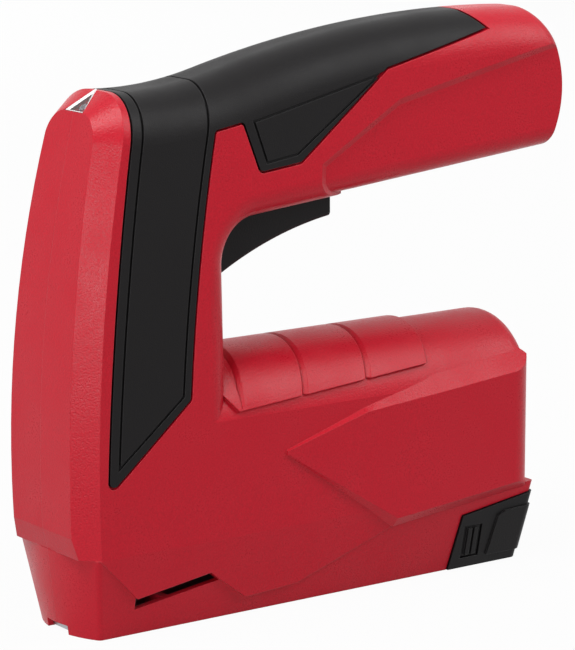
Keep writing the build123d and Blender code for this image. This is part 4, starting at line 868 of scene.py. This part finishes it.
def make_floor(stage):
    """A wide pale floor that takes the shadow."""
    material, tree, shader = empty_material("Pale floor")
    shader.inputs["Base Color"].default_value = (*stage.floor_colour, 1)
    shader.inputs["Roughness"].default_value = FLOOR_ROUGHNESS
    shader.inputs["Specular IOR Level"].default_value = 0.0
    white = tree.nodes.new("ShaderNodeEmission")
    both = tree.nodes.new("ShaderNodeMixShader")
    share = math_node(tree, "MULTIPLY", seen_rays(tree), stage.floor_white)
    feed(tree, both.inputs["Fac"], share)
    feed(tree, both.inputs[1], shader.outputs["BSDF"])
    feed(tree, both.inputs[2], white.outputs["Emission"])
    feed(tree, tree.nodes["Material Output"].inputs["Surface"], both.outputs["Shader"])
    form = bmesh.new()
    bmesh.ops.create_grid(form, x_segments=1, y_segments=1, size=FLOOR_HALF_WIDTH)
    floor = add_piece("floor", form, material)


def make_world(stage):
    """White surroundings, at a plain level for the light and full white for the camera."""
    world = bpy.data.worlds.new("Studio")
    world.use_nodes = True
    tree = world.node_tree
    background = tree.nodes["Background"]
    background.inputs["Color"].default_value = (1, 1, 1, 1)
    span = math_node(tree, "MULTIPLY", seen_rays(tree), 1.0 - stage.world_level)
    strength = math_node(tree, "ADD", span, stage.world_level)
    feed(tree, background.inputs["Strength"], strength)
    bpy.context.scene.world = world


def make_lamp(name, place, size, power, mirrored=True):
    """A square soft lamp that points at the tool, and shows in its shine or not."""
    data = bpy.data.lights.new(name, "AREA")
    data.shape = "SQUARE"
    data.size = size
    data.energy = power
    lamp = add_object(name, data)
    lamp.location = place
    lamp.rotation_euler = (LAMP_TARGET - Vector(place)).to_track_quat("-Z", "Y").to_euler()
    lamp.visible_glossy = mirrored


def make_camera(stage):
    """The camera at the photograph's viewing angle."""
    data = bpy.data.cameras.new("Camera")
    data.lens = stage.lens_length
    data.sensor_width = SENSOR_WIDTH
    data.clip_start = CLIP_START
    camera = add_object("Camera", data)
    camera.location = stage.camera_place
    camera.rotation_euler = (pi / 2 - stage.camera_height_angle, 0, stage.camera_azimuth)
    bpy.context.scene.camera = camera


class STAPLER_OT_stage(bpy.types.Operator):
    """Set the floor, the lamps, the surroundings and the camera"""

    bl_idname = "stapler.stage"
    bl_label = "Stage"

    def execute(self, context):
        stage = context.scene.stapler_stage
        make_floor(stage)
        make_world(stage)
        make_lamp("Key lamp", stage.key_place, stage.key_size, stage.key_power)
        make_lamp("Sheen lamp", stage.sheen_place, stage.sheen_size, stage.sheen_power)
        make_lamp("Facet lamp", stage.facet_place, stage.facet_size, stage.facet_power)
        # In the shine, the far lamp would draw pale rims and a glare on the lens
        make_lamp("Far lamp", stage.far_place, stage.far_size, stage.far_power, mirrored=False)
        make_camera(stage)
        context.scene.view_settings.view_transform = "Standard"
        return {"FINISHED"}


class STAPLER_PT_panel(bpy.types.Panel):
    """The stapler's sizes, colours and making steps"""

    bl_idname = "STAPLER_PT_panel"
    bl_label = "Cordless Stapler"
    bl_space_type = "VIEW_3D"
    bl_region_type = "UI"
    bl_category = "Stapler"

    def draw(self, context):
        layout = self.layout
        for group in (context.scene.stapler_finish, context.scene.stapler_stage):
            column = layout.column()
            for name in group.__annotations__:
                column.prop(group, name)
        for operator in OPERATORS:
            layout.operator(operator.bl_idname)


OPERATORS = (
    STAPLER_OT_housings,
    STAPLER_OT_grips,
    STAPLER_OT_trim,
    STAPLER_OT_indicator,
    STAPLER_OT_steelwork,
    STAPLER_OT_springs,
    STAPLER_OT_electrics,
    STAPLER_OT_screws,
    STAPLER_OT_stage,
)
CLASSES = (StaplerFinish, StaplerStage, *OPERATORS, STAPLER_PT_panel)


def register():
    """Register the classes and the scene's settings."""
    for cls in CLASSES:
        bpy.utils.register_class(cls)
    bpy.types.Scene.stapler_finish = PointerProperty(type=StaplerFinish)
    bpy.types.Scene.stapler_stage = PointerProperty(type=StaplerStage)


def unregister():
    """Take the settings and the classes out again."""
    del bpy.types.Scene.stapler_stage
    del bpy.types.Scene.stapler_finish
    for cls in reversed(CLASSES):
        bpy.utils.unregister_class(cls)


def main():
    """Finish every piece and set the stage."""
    register()
    bpy.ops.stapler.housings()
    bpy.ops.stapler.grips()
    bpy.ops.stapler.trim()
    bpy.ops.stapler.indicator()
    bpy.ops.stapler.steelwork()
    bpy.ops.stapler.springs()
    bpy.ops.stapler.electrics()
    bpy.ops.stapler.screws()
    bpy.ops.stapler.stage()


if __name__ == "__main__":
    main()
